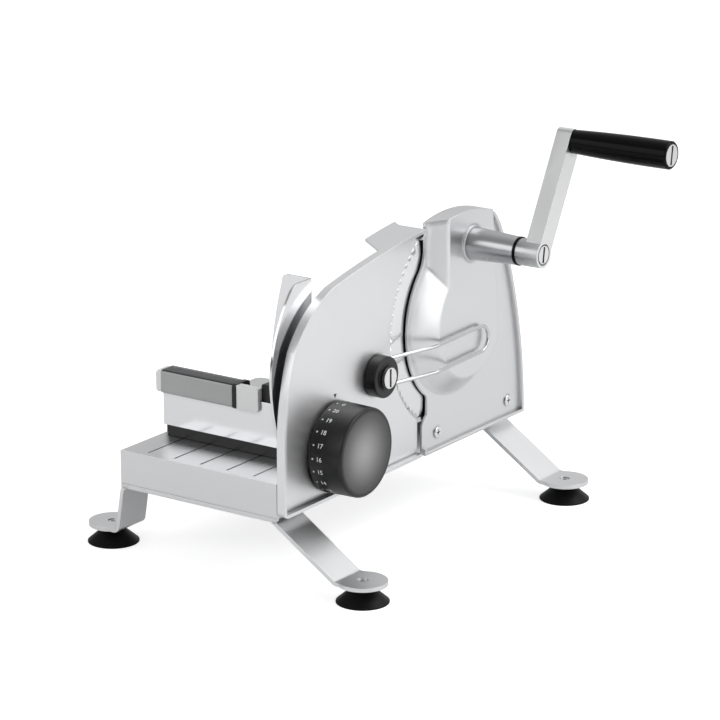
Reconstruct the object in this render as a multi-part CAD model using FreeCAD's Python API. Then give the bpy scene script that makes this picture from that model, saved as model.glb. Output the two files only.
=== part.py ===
import FreeCAD, Part
import math
import os

# Hand cranked food slicer, built as separate pieces. Millimetres, Z up.
# While drawing, X = 0 is the food side of the blade and +X points to the crank, Y = 0 is the
# blade axis and +Y points away from the operator, Z = 0 is the table.

os.makedirs("parts", exist_ok=True)

V = FreeCAD.Vector

# Shift from the drawing frame to the exported frame, whose origin lies under the middle of the part.
SHIFT_X = 10.6
SHIFT_Y = 67.8

# Fits
RUN_FIT = 0.05
SLIDE_GAP = 0.1
FREE_GAP = 0.3

# Longer than any piece, for cutting tools that run right through
FAR = 300.0

# Blade
BLADE_RADIUS = 85.0
BLADE_THICK = 1.4
BEVEL_WIDTH = 10.5
EDGE_THICK = 0.4
SCALLOP_COUNT = 80
SCALLOP_RADIUS = 3.4
SCALLOP_DEPTH = 1.6
BLADE_LOW = 71.3
AXIS_Z = BLADE_RADIUS + BLADE_LOW

# Gear train: crank gear, idler and blade gear stand above one another
GEAR_MODULE = 1.0
CRANK_TEETH = 44
IDLER_TEETH = 27
BLADE_TEETH = 24
TOOTH_PLAY = 0.12
GEAR_BACK = 6.5
GEAR_WIDTH = 8.0
GEAR_FRONT = GEAR_BACK + GEAR_WIDTH
IDLER_Z = AXIS_Z + GEAR_MODULE * (BLADE_TEETH + IDLER_TEETH) / 2
CRANK_Z = IDLER_Z + GEAR_MODULE * (IDLER_TEETH + CRANK_TEETH) / 2

# Base platform and leg bars
BASE_LEFT = -148.3
BASE_RIGHT = -3.0
BASE_FRONT = -226.5
BASE_REAR = 84.0
BASE_LOW = 53.5
BASE_TOP = 80.5
BASE_WALL = 2.5
GROOVE_FIRST = -126.0
GROOVE_PITCH = 24.4
GROOVE_COUNT = 5
GROOVE_WIDTH = 1.6
GROOVE_DEPTH = 0.6
GROOVE_MARGIN = 6.0
BAR_WIDTH = 32.0
BAR_INSET = 14.25
BAR_THICK = 3.0
BAR_BEND = 3.0
BASE_SKIRT = BASE_LOW - BAR_THICK
HEM_RISE = 3.4
HEM_HEIGHT = 0.5
HEM_DEPTH = 0.35
FOOT_TOP = 16.5
FOOT_RADIUS = 18.7
FOOT_LEFT = -168.4
FOOT_RIGHT = 63.3
LEG_LEFT_LOW = -153.0
LEG_LEFT_HIGH = -147.0
LEG_RIGHT_HIGH = -5.3
LEG_RIGHT_LOW = 49.9
BAR_SCREW_LEFT = -130.0
BAR_SCREW_RIGHT = -80.0
BAR_SCREW_RADIUS = 2.0
BAR_SCREW_HEAD = 4.0
BAR_BOSS_RADIUS = 5.0
CUP_RADIUS = 19.8
CUP_LIP_HEIGHT = 0.8
CUP_LIP_FLAT = 1.2
CUP_SHOULDER_RADIUS = 10.3
CUP_SHOULDER_Z = 9.0
CUP_NECK = 8.5
CUP_HOLLOW = 4.5
FOOT_SCREW_RADIUS = 2.0
FOOT_SCREW_HEAD = 4.2

# Gear cover
COVER_BACK = 2.7
COVER_SHEET = 2.0
COVER_FACE = COVER_BACK + COVER_SHEET
COVER_LIP_FRONT = 8.0
COVER_LIP_THICK = 2.2
COVER_BOTTOM = 56.0
COVER_LEFT = -46.8
COVER_ARC = BLADE_RADIUS - 17.0
HOUSING_FRONT = 19.0
HOUSING_WALL = 2.0
HOUSING_LOW_RADIUS = 45.0
INNER_BOSS = 14.9
CRANK_BOSS_END = 61.0
CRANK_BOSS_FOOT = 13.0
BOSS_COLLAR_RADIUS = 14.4
BOSS_COLLAR_THICK = 1.5
COVER_TOP_SWEEP = 28.0
COVER_LOW_ROUND = 5.0
CRANK_BOSS_TIP = 10.9
CRANK_BUSH_OUTER = 8.0
CRANK_BUSH_LENGTH = 12.0
COVER_SCREW_NEAR = -26.3
COVER_SCREW_FAR = 75.7
COVER_SCREW_Z = 69.7
COVER_SCREW_RADIUS = 2.0
COVER_SCREW_HEAD = 4.5
COVER_BOSS_RADIUS = 4.5

# Bearing plate behind the blade
PLATE_BACK = 2.2
PLATE_FACE = COVER_FACE
POST_Y = 26.0
POST_LOW = -16.3
POST_HIGH = 43.7
POST_RADIUS = 4.0
POST_SCREW_RADIUS = 1.5
POST_SCREW_HEAD = 3.0
BUSH_FRONT = 6.2
HUB_RADIUS = 10.0
HUB_SPIGOT = 6.0
HUB_FLAT = 4.8
HUB_TAIL = 4.0
BLADE_BUSH_OUTER = 12.5
BLADE_BUSH_FLANGE = 15.0
LOCK_HEAD_RADIUS = 20.0
LOCK_HEAD_THICK = 2.3
LOCK_SHANK = 3.0
LOCK_DEPTH = 9.0
IDLER_PIN_RADIUS = 3.0
IDLER_WASHER_RADIUS = 6.0

# Crank
SHAFT_RADIUS = 5.0
SHAFT_TAIL = 4.0
SHAFT_SQUARE = 7.0
WASHER_FRONT = 63.0
ARM_BACK = 70.0
ARM_FACE = 83.0
ARM_WIDTH = 17.4
ARM_LEAN = 28.3
ARM_LENGTH = 90.6
ARM_TIP = 8.8
ARM_CORNER = 5.0
ARM_HUB_RADIUS = 10.5
CRANK_SCREW_HEAD = 7.2
CRANK_SCREW_SINK = 3.5
CRANK_SCREW_RING = 1.0
SQUARE_END = ARM_FACE - 6.5
CRANK_SCREW_SHANK = 2.5
GRIP_FIRST = 83.3
GRIP_LAST = 167.0
GRIP_ROOT_RADIUS = 9.2
GRIP_MID_RADIUS = 10.6
GRIP_END_RADIUS = 10.8
GRIP_END_ROUND = 1.0
GRIP_RECESS = 4.0
GRIP_PIN_RADIUS = 4.0
GRIP_THREAD_RADIUS = 3.0
GRIP_CAP_RADIUS = 8.4
SLOT_WIDTH = 2.4
SLOT_DEPTH = 2.0
SLOT_MARGIN = 1.0
SLOT_LEAN = -8.0

# Stop plate
STOP_SHEET = 2.4
STOP_RIM_FRONT = 7.0
STOP_RIM_THICK = 2.7
STOP_LEFT = -230.0
STOP_RIGHT = -50.5
STOP_TOP_END = -46.5
STOP_TOP_MID = -110.0
STOP_TOP_START = -169.0
STOP_BOTTOM = 56.0
STOP_BAY = BLADE_RADIUS + 2.5
STOP_TOP = AXIS_Z + STOP_BAY - 7.7
STOP_MID_DROP = 7.5
STOP_START_DROP = 18.9
STOP_SHOULDER_Y = -216.5
STOP_SHOULDER_DROP = 57.1
STOP_SIDE_DROP = 126.5
ROOF_DEPTH = 25.4
ROOF_START_Y = -101.5
ROOF_CORNER_Y = -84.3
ROOF_CORNER_BACK = 2.4
ROOF_HORN = 5.2
ROOF_HORN_WIDTH = 7.9
ROOF_THICK = 2.0
STOP_TRAVEL = 20.0

# Stop plate guide inside the base
GUIDE_NEAR = -200.0
GUIDE_FAR = -90.0
GUIDE_Z = 66.0
GUIDE_RADIUS = 4.0
GUIDE_RIVET = 3.0
GUIDE_SINK = 1.5
GUIDE_END = -70.0
GUIDE_BUSH_OUTER = 6.0
GUIDE_BUSH_LENGTH = 7.0
WALL_BUSH_FRONT = -2.0
BRACKET_BACK = -33.0
BRACKET_THICK = 3.0
BRACKET_LOW = 58.0
BRACKET_FOOT = 14.0
BRACKET_BUSH_FRONT = -29.0
COLLAR_RADIUS = 7.0
COLLAR_THICK = 3.0
SPRING_RADIUS = 5.4
SPRING_WIRE = 0.6
SPRING_TURNS = 5.5

# Thickness dial: the numbers 0 to 20 stand at even steps round the dial, one per millimetre
DIAL_Y = -162.6
DIAL_Z = 94.2
DIAL_BACK = 5.0
DIAL_FRONT = 32.7
DIAL_BACK_RADIUS = 34.5
DIAL_FRONT_RADIUS = 33.9
DIAL_WALL = 2.5
DIAL_DISH = 2.0
DIAL_STEPS = 21
CAM_INNER = 18.5
CAM_OUTER = 25.5
CAM_TOP = 27.0
CAM_PLATE = 28.0
CAM_DRUM = 2.0
CAM_WEB_BACK = 11.0
CAM_WEB_THICK = 2.0
SPINDLE_RADIUS = 5.0
SPINDLE_END = 27.0
SPINDLE_FLANGE = 8.0
DIAL_HUB_OUTER = 9.0
DIAL_HUB_FRONT = 24.0
CLIP_THICK = 1.0
CLIP_OUTER = 7.5
CLIP_GROOVE = 4.0
DIAL_SCREW_HEAD = 4.2
DIAL_SCREW_SHANK = 2.0
DIAL_SCREW_END = 14.0
FOLLOWER_RADIUS = 2.5
FOLLOWER_FLANGE = 5.5
FOLLOWER_ORBIT = (CAM_INNER + CAM_OUTER) / 2

# Slice deflector
DEFLECTOR_Y = -107.0
DEFLECTOR_Z = 135.0
DEFLECTOR_RADIUS = 16.0
DEFLECTOR_BACK = STOP_SHEET + SLIDE_GAP
DEFLECTOR_FACE = 12.6
DEFLECTOR_BOSS = 10.8
DEFLECTOR_BOSS_FACE = 13.3
DEFLECTOR_STEM = 4.0
DEFLECTOR_RIVET = 2.5
DEFLECTOR_SCREW_FLANGE = 9.3
DEFLECTOR_FLANGE_THICK = 1.2
DEFLECTOR_SCREW_HEAD = 8.0
DEFLECTOR_SCREW_THICK = 2.6
WIRE_RADIUS = 1.5
WIRE_HALF_GAP = 10.3
WIRE_RISE = 2.3
WIRE_TILT = 1.2
WIRE_ROOT_X = 8.9
WIRE_ROOT_Y = -102.0
WIRE_BEND_X = 23.0
WIRE_BEND_Y = -54.0
WIRE_TIP_Y = 19.0

# Carriage
WALL_FRONT = -181.5
WALL_SHEET = 2.0
WALL_LEFT = -141.7
WALL_BOTTOM = 90.3
WALL_TOP = 124.0
GUARD_TOP = 225.4
GUARD_TOP_LEFT = -24.6
GUARD_SIDE_TOP = -29.8
GUARD_SIDE_MID = -37.8
GUARD_SIDE_MID_Z = 180.0
GUARD_LEFT_LOW = -41.0
GUARD_RIGHT = -3.5
FLANGE_TOP_END = -199.0
FLANGE_CORNER = -207.5
FLANGE_HIGH_Y = -224.0
FLANGE_HIGH_Z = 192.0
FLANGE_OUT_Y = -231.2
FLANGE_OUT_Z = 160.0
FLANGE_BEND_Y = -229.6
FLANGE_BEND_Z = 142.0
FLANGE_LOW_Y = -224.0
FLANGE_LOW_Z = 118.0
FLANGE_FOOT = -214.0
FLOOR_TOP = 97.8
FLOOR_REAR = -60.0
GLIDE_LEFT = WALL_LEFT + 1.0
GLIDE_RIGHT = -8.0
GLIDE_WIDTH = 12.0
FRONT_GLIDE_Y = -178.0
REAR_GLIDE_Y = -80.0
HOOK_FIRST_Y = FRONT_GLIDE_Y + GLIDE_WIDTH
HOOK_LENGTH = 36.0
HOOK_THICK = 2.4
HOOK_LOW = 66.0
HOOK_TOOTH = 3.0
HOOK_TOOTH_REACH = 1.3
HOOK_BRIDGE = 93.0
CARRIAGE_TRAVEL = 150.0

# Food holder that slides along the carriage wall
HOLDER_FRONT = -184.0
HOLDER_DEPTH = 17.0
HOLDER_LOW = 115.2
HOLDER_TOP = 133.7
SLEEVE_LEFT = -142.0
SLEEVE_RIGHT = -74.6
SLEEVE_SKIN = 1.6
SLEEVE_ROUND = 2.6
RING_RIGHT = -70.8
RING_PROUD = 0.4
BLOCK_RIGHT = -50.8
BLOCK_DEPTH = 6.2
BLOCK_ROUND = 3.0
HEAD_RIGHT = -40.2
HEAD_TOP = 137.0
HEAD_DEPTH = 14.0
CAP_LEFT = -147.9
CAP_TOP = 132.8
CAP_INSET = 0.3
CAP_ROUND = 3.5
PLATE_THICK = 4.0
PLATE_REAR = -112.0
HOLDER_ROD_RADIUS = 3.0
HOLDER_ROD_Y = -173.2
HOLDER_ROD_Z = 128.0
SPIKE_RADIUS = 1.2
SPIKE_LENGTH = 4.0
SPIKE_PITCH = 20.0


def box(x0, x1, y0, y1, z0, z1):
    """Box between two corners."""
    return Part.makeBox(x1 - x0, y1 - y0, z1 - z0, V(x0, y0, z0))


def rod(x0, x1, y, z, radius):
    """Cylinder along X."""
    return Part.makeCylinder(radius, x1 - x0, V(x0, y, z), V(1, 0, 0))


def post(x, y, z0, z1, radius):
    """Cylinder along Z."""
    return Part.makeCylinder(radius, z1 - z0, V(x, y, z0), V(0, 0, 1))


def taper(x0, x1, y, z, radius0, radius1):
    """Cone along X."""
    return Part.makeCone(radius0, radius1, x1 - x0, V(x0, y, z), V(1, 0, 0))


def tube(x0, x1, y, z, outer, inner):
    """Hollow cylinder along X."""
    return rod(x0, x1, y, z, outer).cut(rod(x0, x1, y, z, inner))


def fuse(shapes):
    """Join overlapping shapes into one and drop the seams."""
    first = shapes[0]
    if len(shapes) > 1:
        first = first.multiFuse(shapes[1:])
    return first.removeSplitter()


def cut(shape, tools):
    """Take all tools away from a shape."""
    for tool in tools:
        shape = shape.cut(tool)
    return shape


def path_yz(start, steps, x=0.0):
    """Closed wire in a plane across X. A step of one point is a line, one of two points an arc."""
    edges = []
    here = V(x, *start)
    for step in steps:
        there = V(x, *step[-1])
        if len(step) == 1:
            edges.append(Part.LineSegment(here, there).toShape())
        else:
            edges.append(Part.Arc(here, V(x, *step[0]), there).toShape())
        here = there
    return Part.Wire(edges)


def path_xz(start, steps, y=0.0):
    """Closed wire in a plane across Y, with the same steps as path_yz."""
    edges = []
    here = V(start[0], y, start[1])
    for step in steps:
        there = V(step[-1][0], y, step[-1][1])
        if len(step) == 1:
            edges.append(Part.LineSegment(here, there).toShape())
        else:
            middle = V(step[0][0], y, step[0][1])
            edges.append(Part.Arc(here, middle, there).toShape())
        here = there
    return Part.Wire(edges)


def slab(wire, x0, x1):
    """Plate with the outline of a wire drawn at X = 0."""
    face = Part.Face(wire)
    face.translate(V(x0, 0, 0))
    return face.extrude(V(x1 - x0, 0, 0))


def shrunk(wire, distance, sharp=False):
    """Wire moved inwards by a distance, its inward corners round or sharp."""
    return wire.makeOffset2D(-distance, 1 if sharp else 0)


def edges_along(shape, axis, places, reach=0.6):
    """Straight edges along X, Y or Z that pass the given places in the other two axes."""
    other = [i for i in range(3) if i != axis]
    found = []
    for edge in shape.Edges:
        first = edge.Vertexes[0].Point
        last = edge.Vertexes[-1].Point
        if edge.Curve.TypeId != "Part::GeomLine":
            continue
        if any(abs(first[i] - last[i]) > 0.001 for i in other):
            continue
        for place in places:
            if math.hypot(first[other[0]] - place[0], first[other[1]] - place[1]) < reach:
                found.append(edge)
                break
    return found


def on_circle(radius, degrees, y=0.0, z=0.0):
    """Point in Y and Z on a circle, the angle counted from +Y towards +Z."""
    turn = math.radians(degrees)
    return (y + radius * math.cos(turn), z + radius * math.sin(turn))


def circle_through(first, second, third):
    """Centre and radius of the circle through three points in Y and Z."""
    curve = Part.Arc(V(0, *first), V(0, *second), V(0, *third)).toShape().Curve
    return curve.Center.y, curve.Center.z, curve.Radius


def height_on(circle, y):
    """Upper height of a circle at a place along Y."""
    return circle[1] + math.sqrt(circle[2] ** 2 - (y - circle[0]) ** 2)


def involute(base, radius):
    """Polar angle of the involute of a base circle where it reaches a radius."""
    turn = math.sqrt(max((radius / base) ** 2 - 1, 0))
    return turn - math.atan(turn)


def gear(teeth, z, bore, first_tooth):
    """Spur gear along X. One tooth stands at the angle first_tooth, from +Y towards +Z."""
    pitch = GEAR_MODULE * teeth / 2
    tip = pitch + GEAR_MODULE
    root = pitch - 1.25 * GEAR_MODULE
    base = pitch * math.cos(math.radians(20))
    half = math.pi / 2 / teeth - TOOTH_PLAY / 2 / pitch + involute(base, pitch)
    low = max(base, root)
    radii = [low + (tip - low) * i / 3 for i in range(4)]
    angles = [half - involute(base, radius) for radius in radii]

    def place(radius, angle):
        return V(0, radius * math.cos(angle), radius * math.sin(angle))

    edges = []
    step = 2 * math.pi / teeth
    for number in range(teeth):
        middle = math.radians(first_tooth) + number * step
        rising = [place(r, middle - a) for r, a in zip(radii, angles)]
        falling = [place(r, middle + a) for r, a in zip(radii, angles)]
        falling.reverse()
        foot = place(root, middle - angles[0])
        last_foot = place(root, middle + angles[0])
        next_foot = place(root, middle + step - angles[0])
        gap = place(root, middle + step / 2)
        if low > root:
            edges.append(Part.LineSegment(foot, rising[0]).toShape())
        flank = Part.BSplineCurve()
        flank.interpolate(rising)
        edges.append(flank.toShape())
        edges.append(Part.Arc(rising[-1], place(tip, middle), falling[0]).toShape())
        flank = Part.BSplineCurve()
        flank.interpolate(falling)
        edges.append(flank.toShape())
        if low > root:
            edges.append(Part.LineSegment(falling[-1], last_foot).toShape())
        edges.append(Part.Arc(last_foot, gap, next_foot).toShape())
    wheel = slab(Part.Wire(edges), GEAR_BACK, GEAR_FRONT)
    wheel.translate(V(0, 0, z))
    return wheel.cut(rod(GEAR_BACK - 1, GEAR_FRONT + 1, 0, z, bore))


def slot_cut(x_face, y, z, radius, lean):
    """Screwdriver slot in a screw head whose face looks along +X."""
    slot = box(x_face - SLOT_DEPTH, x_face + 1, -SLOT_WIDTH / 2, SLOT_WIDTH / 2, -radius, radius)
    slot.rotate(V(0, 0, 0), V(1, 0, 0), lean)
    slot.translate(V(0, y, z))
    return slot


# Base

def bar_centres():
    """Y of the middle of the front and the rear leg bar."""
    return [BASE_FRONT + BAR_INSET, BASE_REAR - BAR_INSET]


def bar_run(y):
    """First and last Y of the part of a leg bar that lies inside the platform's skirt."""
    half = BAR_WIDTH / 2
    return max(y - half, BASE_FRONT + BASE_WALL), min(y + half, BASE_REAR - BASE_WALL)


def hem_line():
    """Shallow groove round the front, left and rear of the skirt, above its folded hem."""
    low = BASE_SKIRT + HEM_RISE
    high = low + HEM_HEIGHT
    outside = box(BASE_LEFT - 1, BASE_RIGHT + 1, BASE_FRONT - 1, BASE_REAR + 1, low, high)
    kept = box(
        BASE_LEFT + HEM_DEPTH,
        BASE_RIGHT + 2,
        BASE_FRONT + HEM_DEPTH,
        BASE_REAR - HEM_DEPTH,
        low - 1,
        high + 1,
    )
    return outside.cut(kept)


def base_platform():
    """Folded platform, open below, with bosses for the bars and the cover."""
    body = box(BASE_LEFT, BASE_RIGHT, BASE_FRONT, BASE_REAR, BASE_SKIRT, BASE_TOP)
    corners = [(BASE_LEFT, BASE_TOP), (BASE_RIGHT, BASE_TOP)]
    body = body.makeFillet(1.2, edges_along(body, 1, corners))
    inner = box(
        BASE_LEFT + BASE_WALL,
        BASE_RIGHT - BASE_WALL,
        BASE_FRONT + BASE_WALL,
        BASE_REAR - BASE_WALL,
        BASE_SKIRT - 1,
        BASE_TOP - BASE_WALL,
    )
    inside = BASE_RIGHT - BASE_WALL
    beside = box(
        inside - 1,
        BASE_RIGHT + 1,
        BASE_FRONT + BASE_WALL,
        BASE_REAR - BASE_WALL,
        BASE_SKIRT - 1,
        BASE_LOW,
    )
    body = cut(body, [inner, beside, hem_line()])
    adds = [body]
    holes = []
    for y in bar_centres():
        first, last = bar_run(y)
        notch_end = BASE_LEFT + BASE_WALL + 1
        holes.append(box(BASE_LEFT - 1, notch_end, first, last, BASE_SKIRT - 1, BASE_LOW))
        for x in (BAR_SCREW_LEFT, BAR_SCREW_RIGHT):
            adds.append(post(x, y, BASE_LOW, BASE_TOP - 1, BAR_BOSS_RADIUS))
            holes.append(post(x, y, BASE_LOW - 1, BASE_LOW + 12, BAR_SCREW_RADIUS))
    for y in (COVER_SCREW_NEAR, COVER_SCREW_FAR):
        adds.append(rod(BASE_RIGHT - 6, COVER_BACK, y, COVER_SCREW_Z, COVER_BOSS_RADIUS))
        holes.append(rod(BASE_RIGHT - 6, COVER_BACK + 1, y, COVER_SCREW_Z, COVER_SCREW_RADIUS))
    for y in (GUIDE_NEAR, GUIDE_FAR):
        holes.append(rod(BASE_RIGHT - 5, BASE_RIGHT + 1, y, GUIDE_Z, GUIDE_BUSH_OUTER))
    follower_z = DIAL_Z - FOLLOWER_ORBIT
    holes.append(rod(BASE_RIGHT - 5, BASE_RIGHT + 1, DIAL_Y, follower_z, FOLLOWER_RADIUS))
    for number in range(GROOVE_COUNT):
        x = GROOVE_FIRST + number * GROOVE_PITCH
        first = BASE_FRONT + GROOVE_MARGIN
        last = BASE_REAR - GROOVE_MARGIN
        low = BASE_TOP - GROOVE_DEPTH
        holes.append(
            box(x - GROOVE_WIDTH / 2, x + GROOVE_WIDTH / 2, first, last, low, BASE_TOP + 1)
        )
    groove_end = HOOK_FIRST_Y + HOOK_LENGTH + CARRIAGE_TRAVEL + FREE_GAP
    holes.append(
        box(
            BASE_LEFT - 1,
            BASE_LEFT - FREE_GAP + HOOK_TOOTH_REACH + FREE_GAP,
            HOOK_FIRST_Y - FREE_GAP,
            groove_end,
            HOOK_LOW - FREE_GAP,
            HOOK_LOW + HOOK_TOOTH + FREE_GAP,
        )
    )
    return cut(fuse(adds), holes)


def leg_bar(y):
    """Flat bar bent down to two round tongues, seen from the front."""
    half = BAR_WIDTH / 2
    left_slope = math.atan2(BASE_LOW - FOOT_TOP, LEG_LEFT_HIGH - LEG_LEFT_LOW)
    right_slope = math.atan2(BASE_LOW - FOOT_TOP, LEG_RIGHT_LOW - LEG_RIGHT_HIGH)
    left_shift = BAR_THICK * math.tan(left_slope / 2)
    right_shift = BAR_THICK * math.tan(right_slope / 2)
    low = FOOT_TOP - BAR_THICK
    under = BASE_LOW - BAR_THICK
    lines = [
        (FOOT_LEFT, FOOT_TOP),
        (LEG_LEFT_LOW, FOOT_TOP),
        (LEG_LEFT_HIGH, BASE_LOW),
        (LEG_RIGHT_HIGH, BASE_LOW),
        (LEG_RIGHT_LOW, FOOT_TOP),
        (FOOT_RIGHT, FOOT_TOP),
        (FOOT_RIGHT, low),
        (LEG_RIGHT_LOW - right_shift, low),
        (LEG_RIGHT_HIGH - right_shift, under),
        (LEG_LEFT_HIGH + left_shift, under),
        (LEG_LEFT_LOW + left_shift, low),
        (FOOT_LEFT, low),
    ]
    wire = path_xz(lines[0], [(p,) for p in lines[1:]] + [(lines[0],)], y - half)
    bar = Part.Face(wire).extrude(V(0, BAR_WIDTH, 0))
    inner = edges_along(bar, 1, [lines[1], lines[4], lines[8], lines[9]], 0.1)
    outer = edges_along(bar, 1, [lines[2], lines[3], lines[7], lines[10]], 0.1)
    bar = bar.makeFillet(BAR_BEND, inner)
    outer = edges_along(bar, 1, [lines[2], lines[3], lines[7], lines[10]], 0.1)
    bar = bar.makeFillet(BAR_BEND + BAR_THICK, outer)
    left_end = LEG_LEFT_LOW - BAR_BEND * math.tan(left_slope / 2)
    right_end = LEG_RIGHT_LOW + BAR_BEND * math.tan(right_slope / 2)
    discs = [post(x, y, low, FOOT_TOP, FOOT_RADIUS) for x in (FOOT_LEFT, FOOT_RIGHT)]
    left_side = box(-FAR, left_end, y - FAR, y + FAR, 0, BASE_LOW)
    right_side = box(right_end, FAR, y - FAR, y + FAR, 0, BASE_LOW)
    bar = fuse([bar, discs[0].common(left_side), discs[1].common(right_side)])
    holes = [post(x, y, low, FOOT_TOP + 1, FOOT_SCREW_RADIUS) for x in (FOOT_LEFT, FOOT_RIGHT)]
    for x in (FOOT_LEFT, FOOT_RIGHT):
        holes.append(foot_screw_head(x, y))
        holes.append(post(x, y, FOOT_TOP - 0.7, FOOT_TOP + 1, FOOT_SCREW_HEAD))
    for x in (BAR_SCREW_LEFT, BAR_SCREW_RIGHT):
        holes.append(post(x, y, under - 1, BASE_LOW + 1, BAR_SCREW_RADIUS))
    first, last = bar_run(y)
    holes.append(box(-FAR, BASE_RIGHT + FREE_GAP, y - FAR, first, under, BASE_LOW + 1))
    holes.append(box(-FAR, BASE_RIGHT + FREE_GAP, last, y + FAR, under, BASE_LOW + 1))
    return cut(bar, holes)


def foot_screw_head(x, y):
    """Countersunk head of a foot screw."""
    top = FOOT_TOP - 0.7
    rise = FOOT_SCREW_HEAD - FOOT_SCREW_RADIUS
    return Part.makeCone(
        FOOT_SCREW_RADIUS, FOOT_SCREW_HEAD, rise, V(x, y, top - rise), V(0, 0, 1)
    )


def cross_cut(x, y, z, size, depth):
    """Cross recess that opens upwards."""
    arm = size / 3
    one = box(x - size, x + size, y - arm / 2, y + arm / 2, z - depth, z + 1)
    two = box(x - arm / 2, x + arm / 2, y - size, y + size, z - depth, z + 1)
    return one.fuse(two)


def foot_screws():
    """The screws that hold the suction cups."""
    low = FOOT_TOP - BAR_THICK
    screws = []
    for y in bar_centres():
        for x in (FOOT_LEFT, FOOT_RIGHT):
            shank_top = FOOT_TOP - 0.7 - (FOOT_SCREW_HEAD - FOOT_SCREW_RADIUS)
            shank = post(x, y, low - 6, shank_top, FOOT_SCREW_RADIUS)
            screw = fuse([foot_screw_head(x, y), shank])
            screws.append(screw.cut(cross_cut(x, y, FOOT_TOP - 0.7, 2.2, 0.9)))
    return Part.makeCompound(screws)


def suction_cup(x, y):
    """Rubber suction cup below a tongue, with a hollow lower face."""
    top = FOOT_TOP - BAR_THICK
    lip = CUP_RADIUS - CUP_LIP_FLAT
    neck_rise = CUP_SHOULDER_RADIUS - CUP_NECK
    wire = path_xz(
        (0, CUP_HOLLOW),
        [
            ((lip * 0.55, CUP_HOLLOW * 0.72), (lip, 0)),
            ((CUP_RADIUS, 0),),
            ((CUP_RADIUS, CUP_LIP_HEIGHT),),
            ((CUP_SHOULDER_RADIUS, CUP_SHOULDER_Z),),
            ((CUP_NECK, CUP_SHOULDER_Z + neck_rise),),
            ((CUP_NECK, top),),
            ((0, top),),
            ((0, CUP_HOLLOW),),
        ],
    )
    cup = Part.Face(wire).revolve(V(0, 0, 0), V(0, 0, 1), 360)
    cup.translate(V(x, y, 0))
    return cup.cut(post(x, y, top - 6, top + 1, FOOT_SCREW_RADIUS))


def bar_screws():
    """Screws from below that hold the leg bars under the platform."""
    under = BASE_LOW - BAR_THICK
    screws = []
    for y in bar_centres():
        for x in (BAR_SCREW_LEFT, BAR_SCREW_RIGHT):
            head = post(x, y, under - 2, under, BAR_SCREW_HEAD)
            shank = post(x, y, under - 1, BASE_LOW + 10, BAR_SCREW_RADIUS)
            recess = cross_cut(x, y, under - 1, 2.2, 2)
            recess.translate(V(0, 0, -2))
            screws.append(fuse([head, shank]).cut(recess))
    return Part.makeCompound(screws)


# Cover and bearings

def cover_top():
    """Circle that the top edge of the cover follows."""
    return circle_through(
        (-44.9, AXIS_Z + 83.6), (-2.5, AXIS_Z + 87.7), (48.7, AXIS_Z + 74.4)
    )


def cover_corners():
    """Y and Z of the flange corners beside the blade: top, bottom, and the two of the step."""
    high = on_circle(COVER_ARC, 130, 0, AXIS_Z)
    low = on_circle(COVER_ARC, -126, 0, AXIS_Z)
    return [high, low, (low[0], low[1] - 14.0), (COVER_LEFT, low[1] - 21.0)]


def cover_outline():
    """Outline of the cover flange."""
    circle = cover_top()
    high, low, shoulder, step = cover_corners()
    left = -44.5
    right = 49.0
    return path_yz(
        (COVER_LEFT, COVER_BOTTOM),
        [
            (step,),
            (shoulder,),
            (low,),
            ((-COVER_ARC, AXIS_Z), high),
            ((left, height_on(circle, left)),),
            ((0, height_on(circle, 0)), (right, height_on(circle, right))),
            ((56.5, AXIS_Z + 65.2), (62.1, AXIS_Z + 55.3)),
            ((84.2, AXIS_Z - 9.0), (96.4, COVER_BOTTOM)),
            ((COVER_LEFT, COVER_BOTTOM),),
        ],
    )


def housing_foot():
    """Outline of the raised housing where it meets the flange; the top is trimmed later."""
    high = on_circle(COVER_ARC - 1.0, 131, 0, AXIS_Z)
    above = AXIS_Z + 100.0
    return path_yz(
        (high[0], above),
        [
            (high,),
            (on_circle(COVER_ARC - 1.0, 155, 0, AXIS_Z), (-COVER_ARC + 1.0, AXIS_Z)),
            ((0, AXIS_Z - 60.0), (57.0, AXIS_Z - 20.0)),
            ((49.3, above),),
            ((high[0], above),),
        ],
    )


def housing_face():
    """Outline of the front plane of the raised housing; the top is trimmed later."""
    left = -32.0
    turn = math.degrees(math.acos(left / HOUSING_LOW_RADIUS))
    high = on_circle(HOUSING_LOW_RADIUS, turn, 0, AXIS_Z)
    above = AXIS_Z + 100.0
    return path_yz(
        (left, above),
        [
            (high,),
            (on_circle(HOUSING_LOW_RADIUS, 155, 0, AXIS_Z), (-HOUSING_LOW_RADIUS, AXIS_Z)),
            ((0, AXIS_Z - HOUSING_LOW_RADIUS), on_circle(HOUSING_LOW_RADIUS, -28, 0, AXIS_Z)),
            ((27.1, above),),
            ((left, above),),
        ],
    )


def at_x(wire, x):
    """Copy of a wire moved along X."""
    moved = wire.copy()
    moved.translate(V(x, 0, 0))
    return moved


def housing_loft(inset, x0, x1):
    """Solid between the foot and the face of the housing, both moved inwards, top trimmed."""
    foot = housing_foot()
    face = housing_face()
    if inset:
        foot = shrunk(foot, inset, True)
        face = shrunk(face, inset, True)
    loft = Part.makeLoft([at_x(foot, x0), at_x(face, x1)], True, True)
    cy, cz, radius = cover_top()
    return loft.common(rod(x0, x1, cy, cz, radius - inset))


def post_places():
    """Y and Z of the bearing plate posts."""
    return [(y, AXIS_Z + z) for y in (-POST_Y, POST_Y) for z in (POST_LOW, POST_HIGH)]


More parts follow.
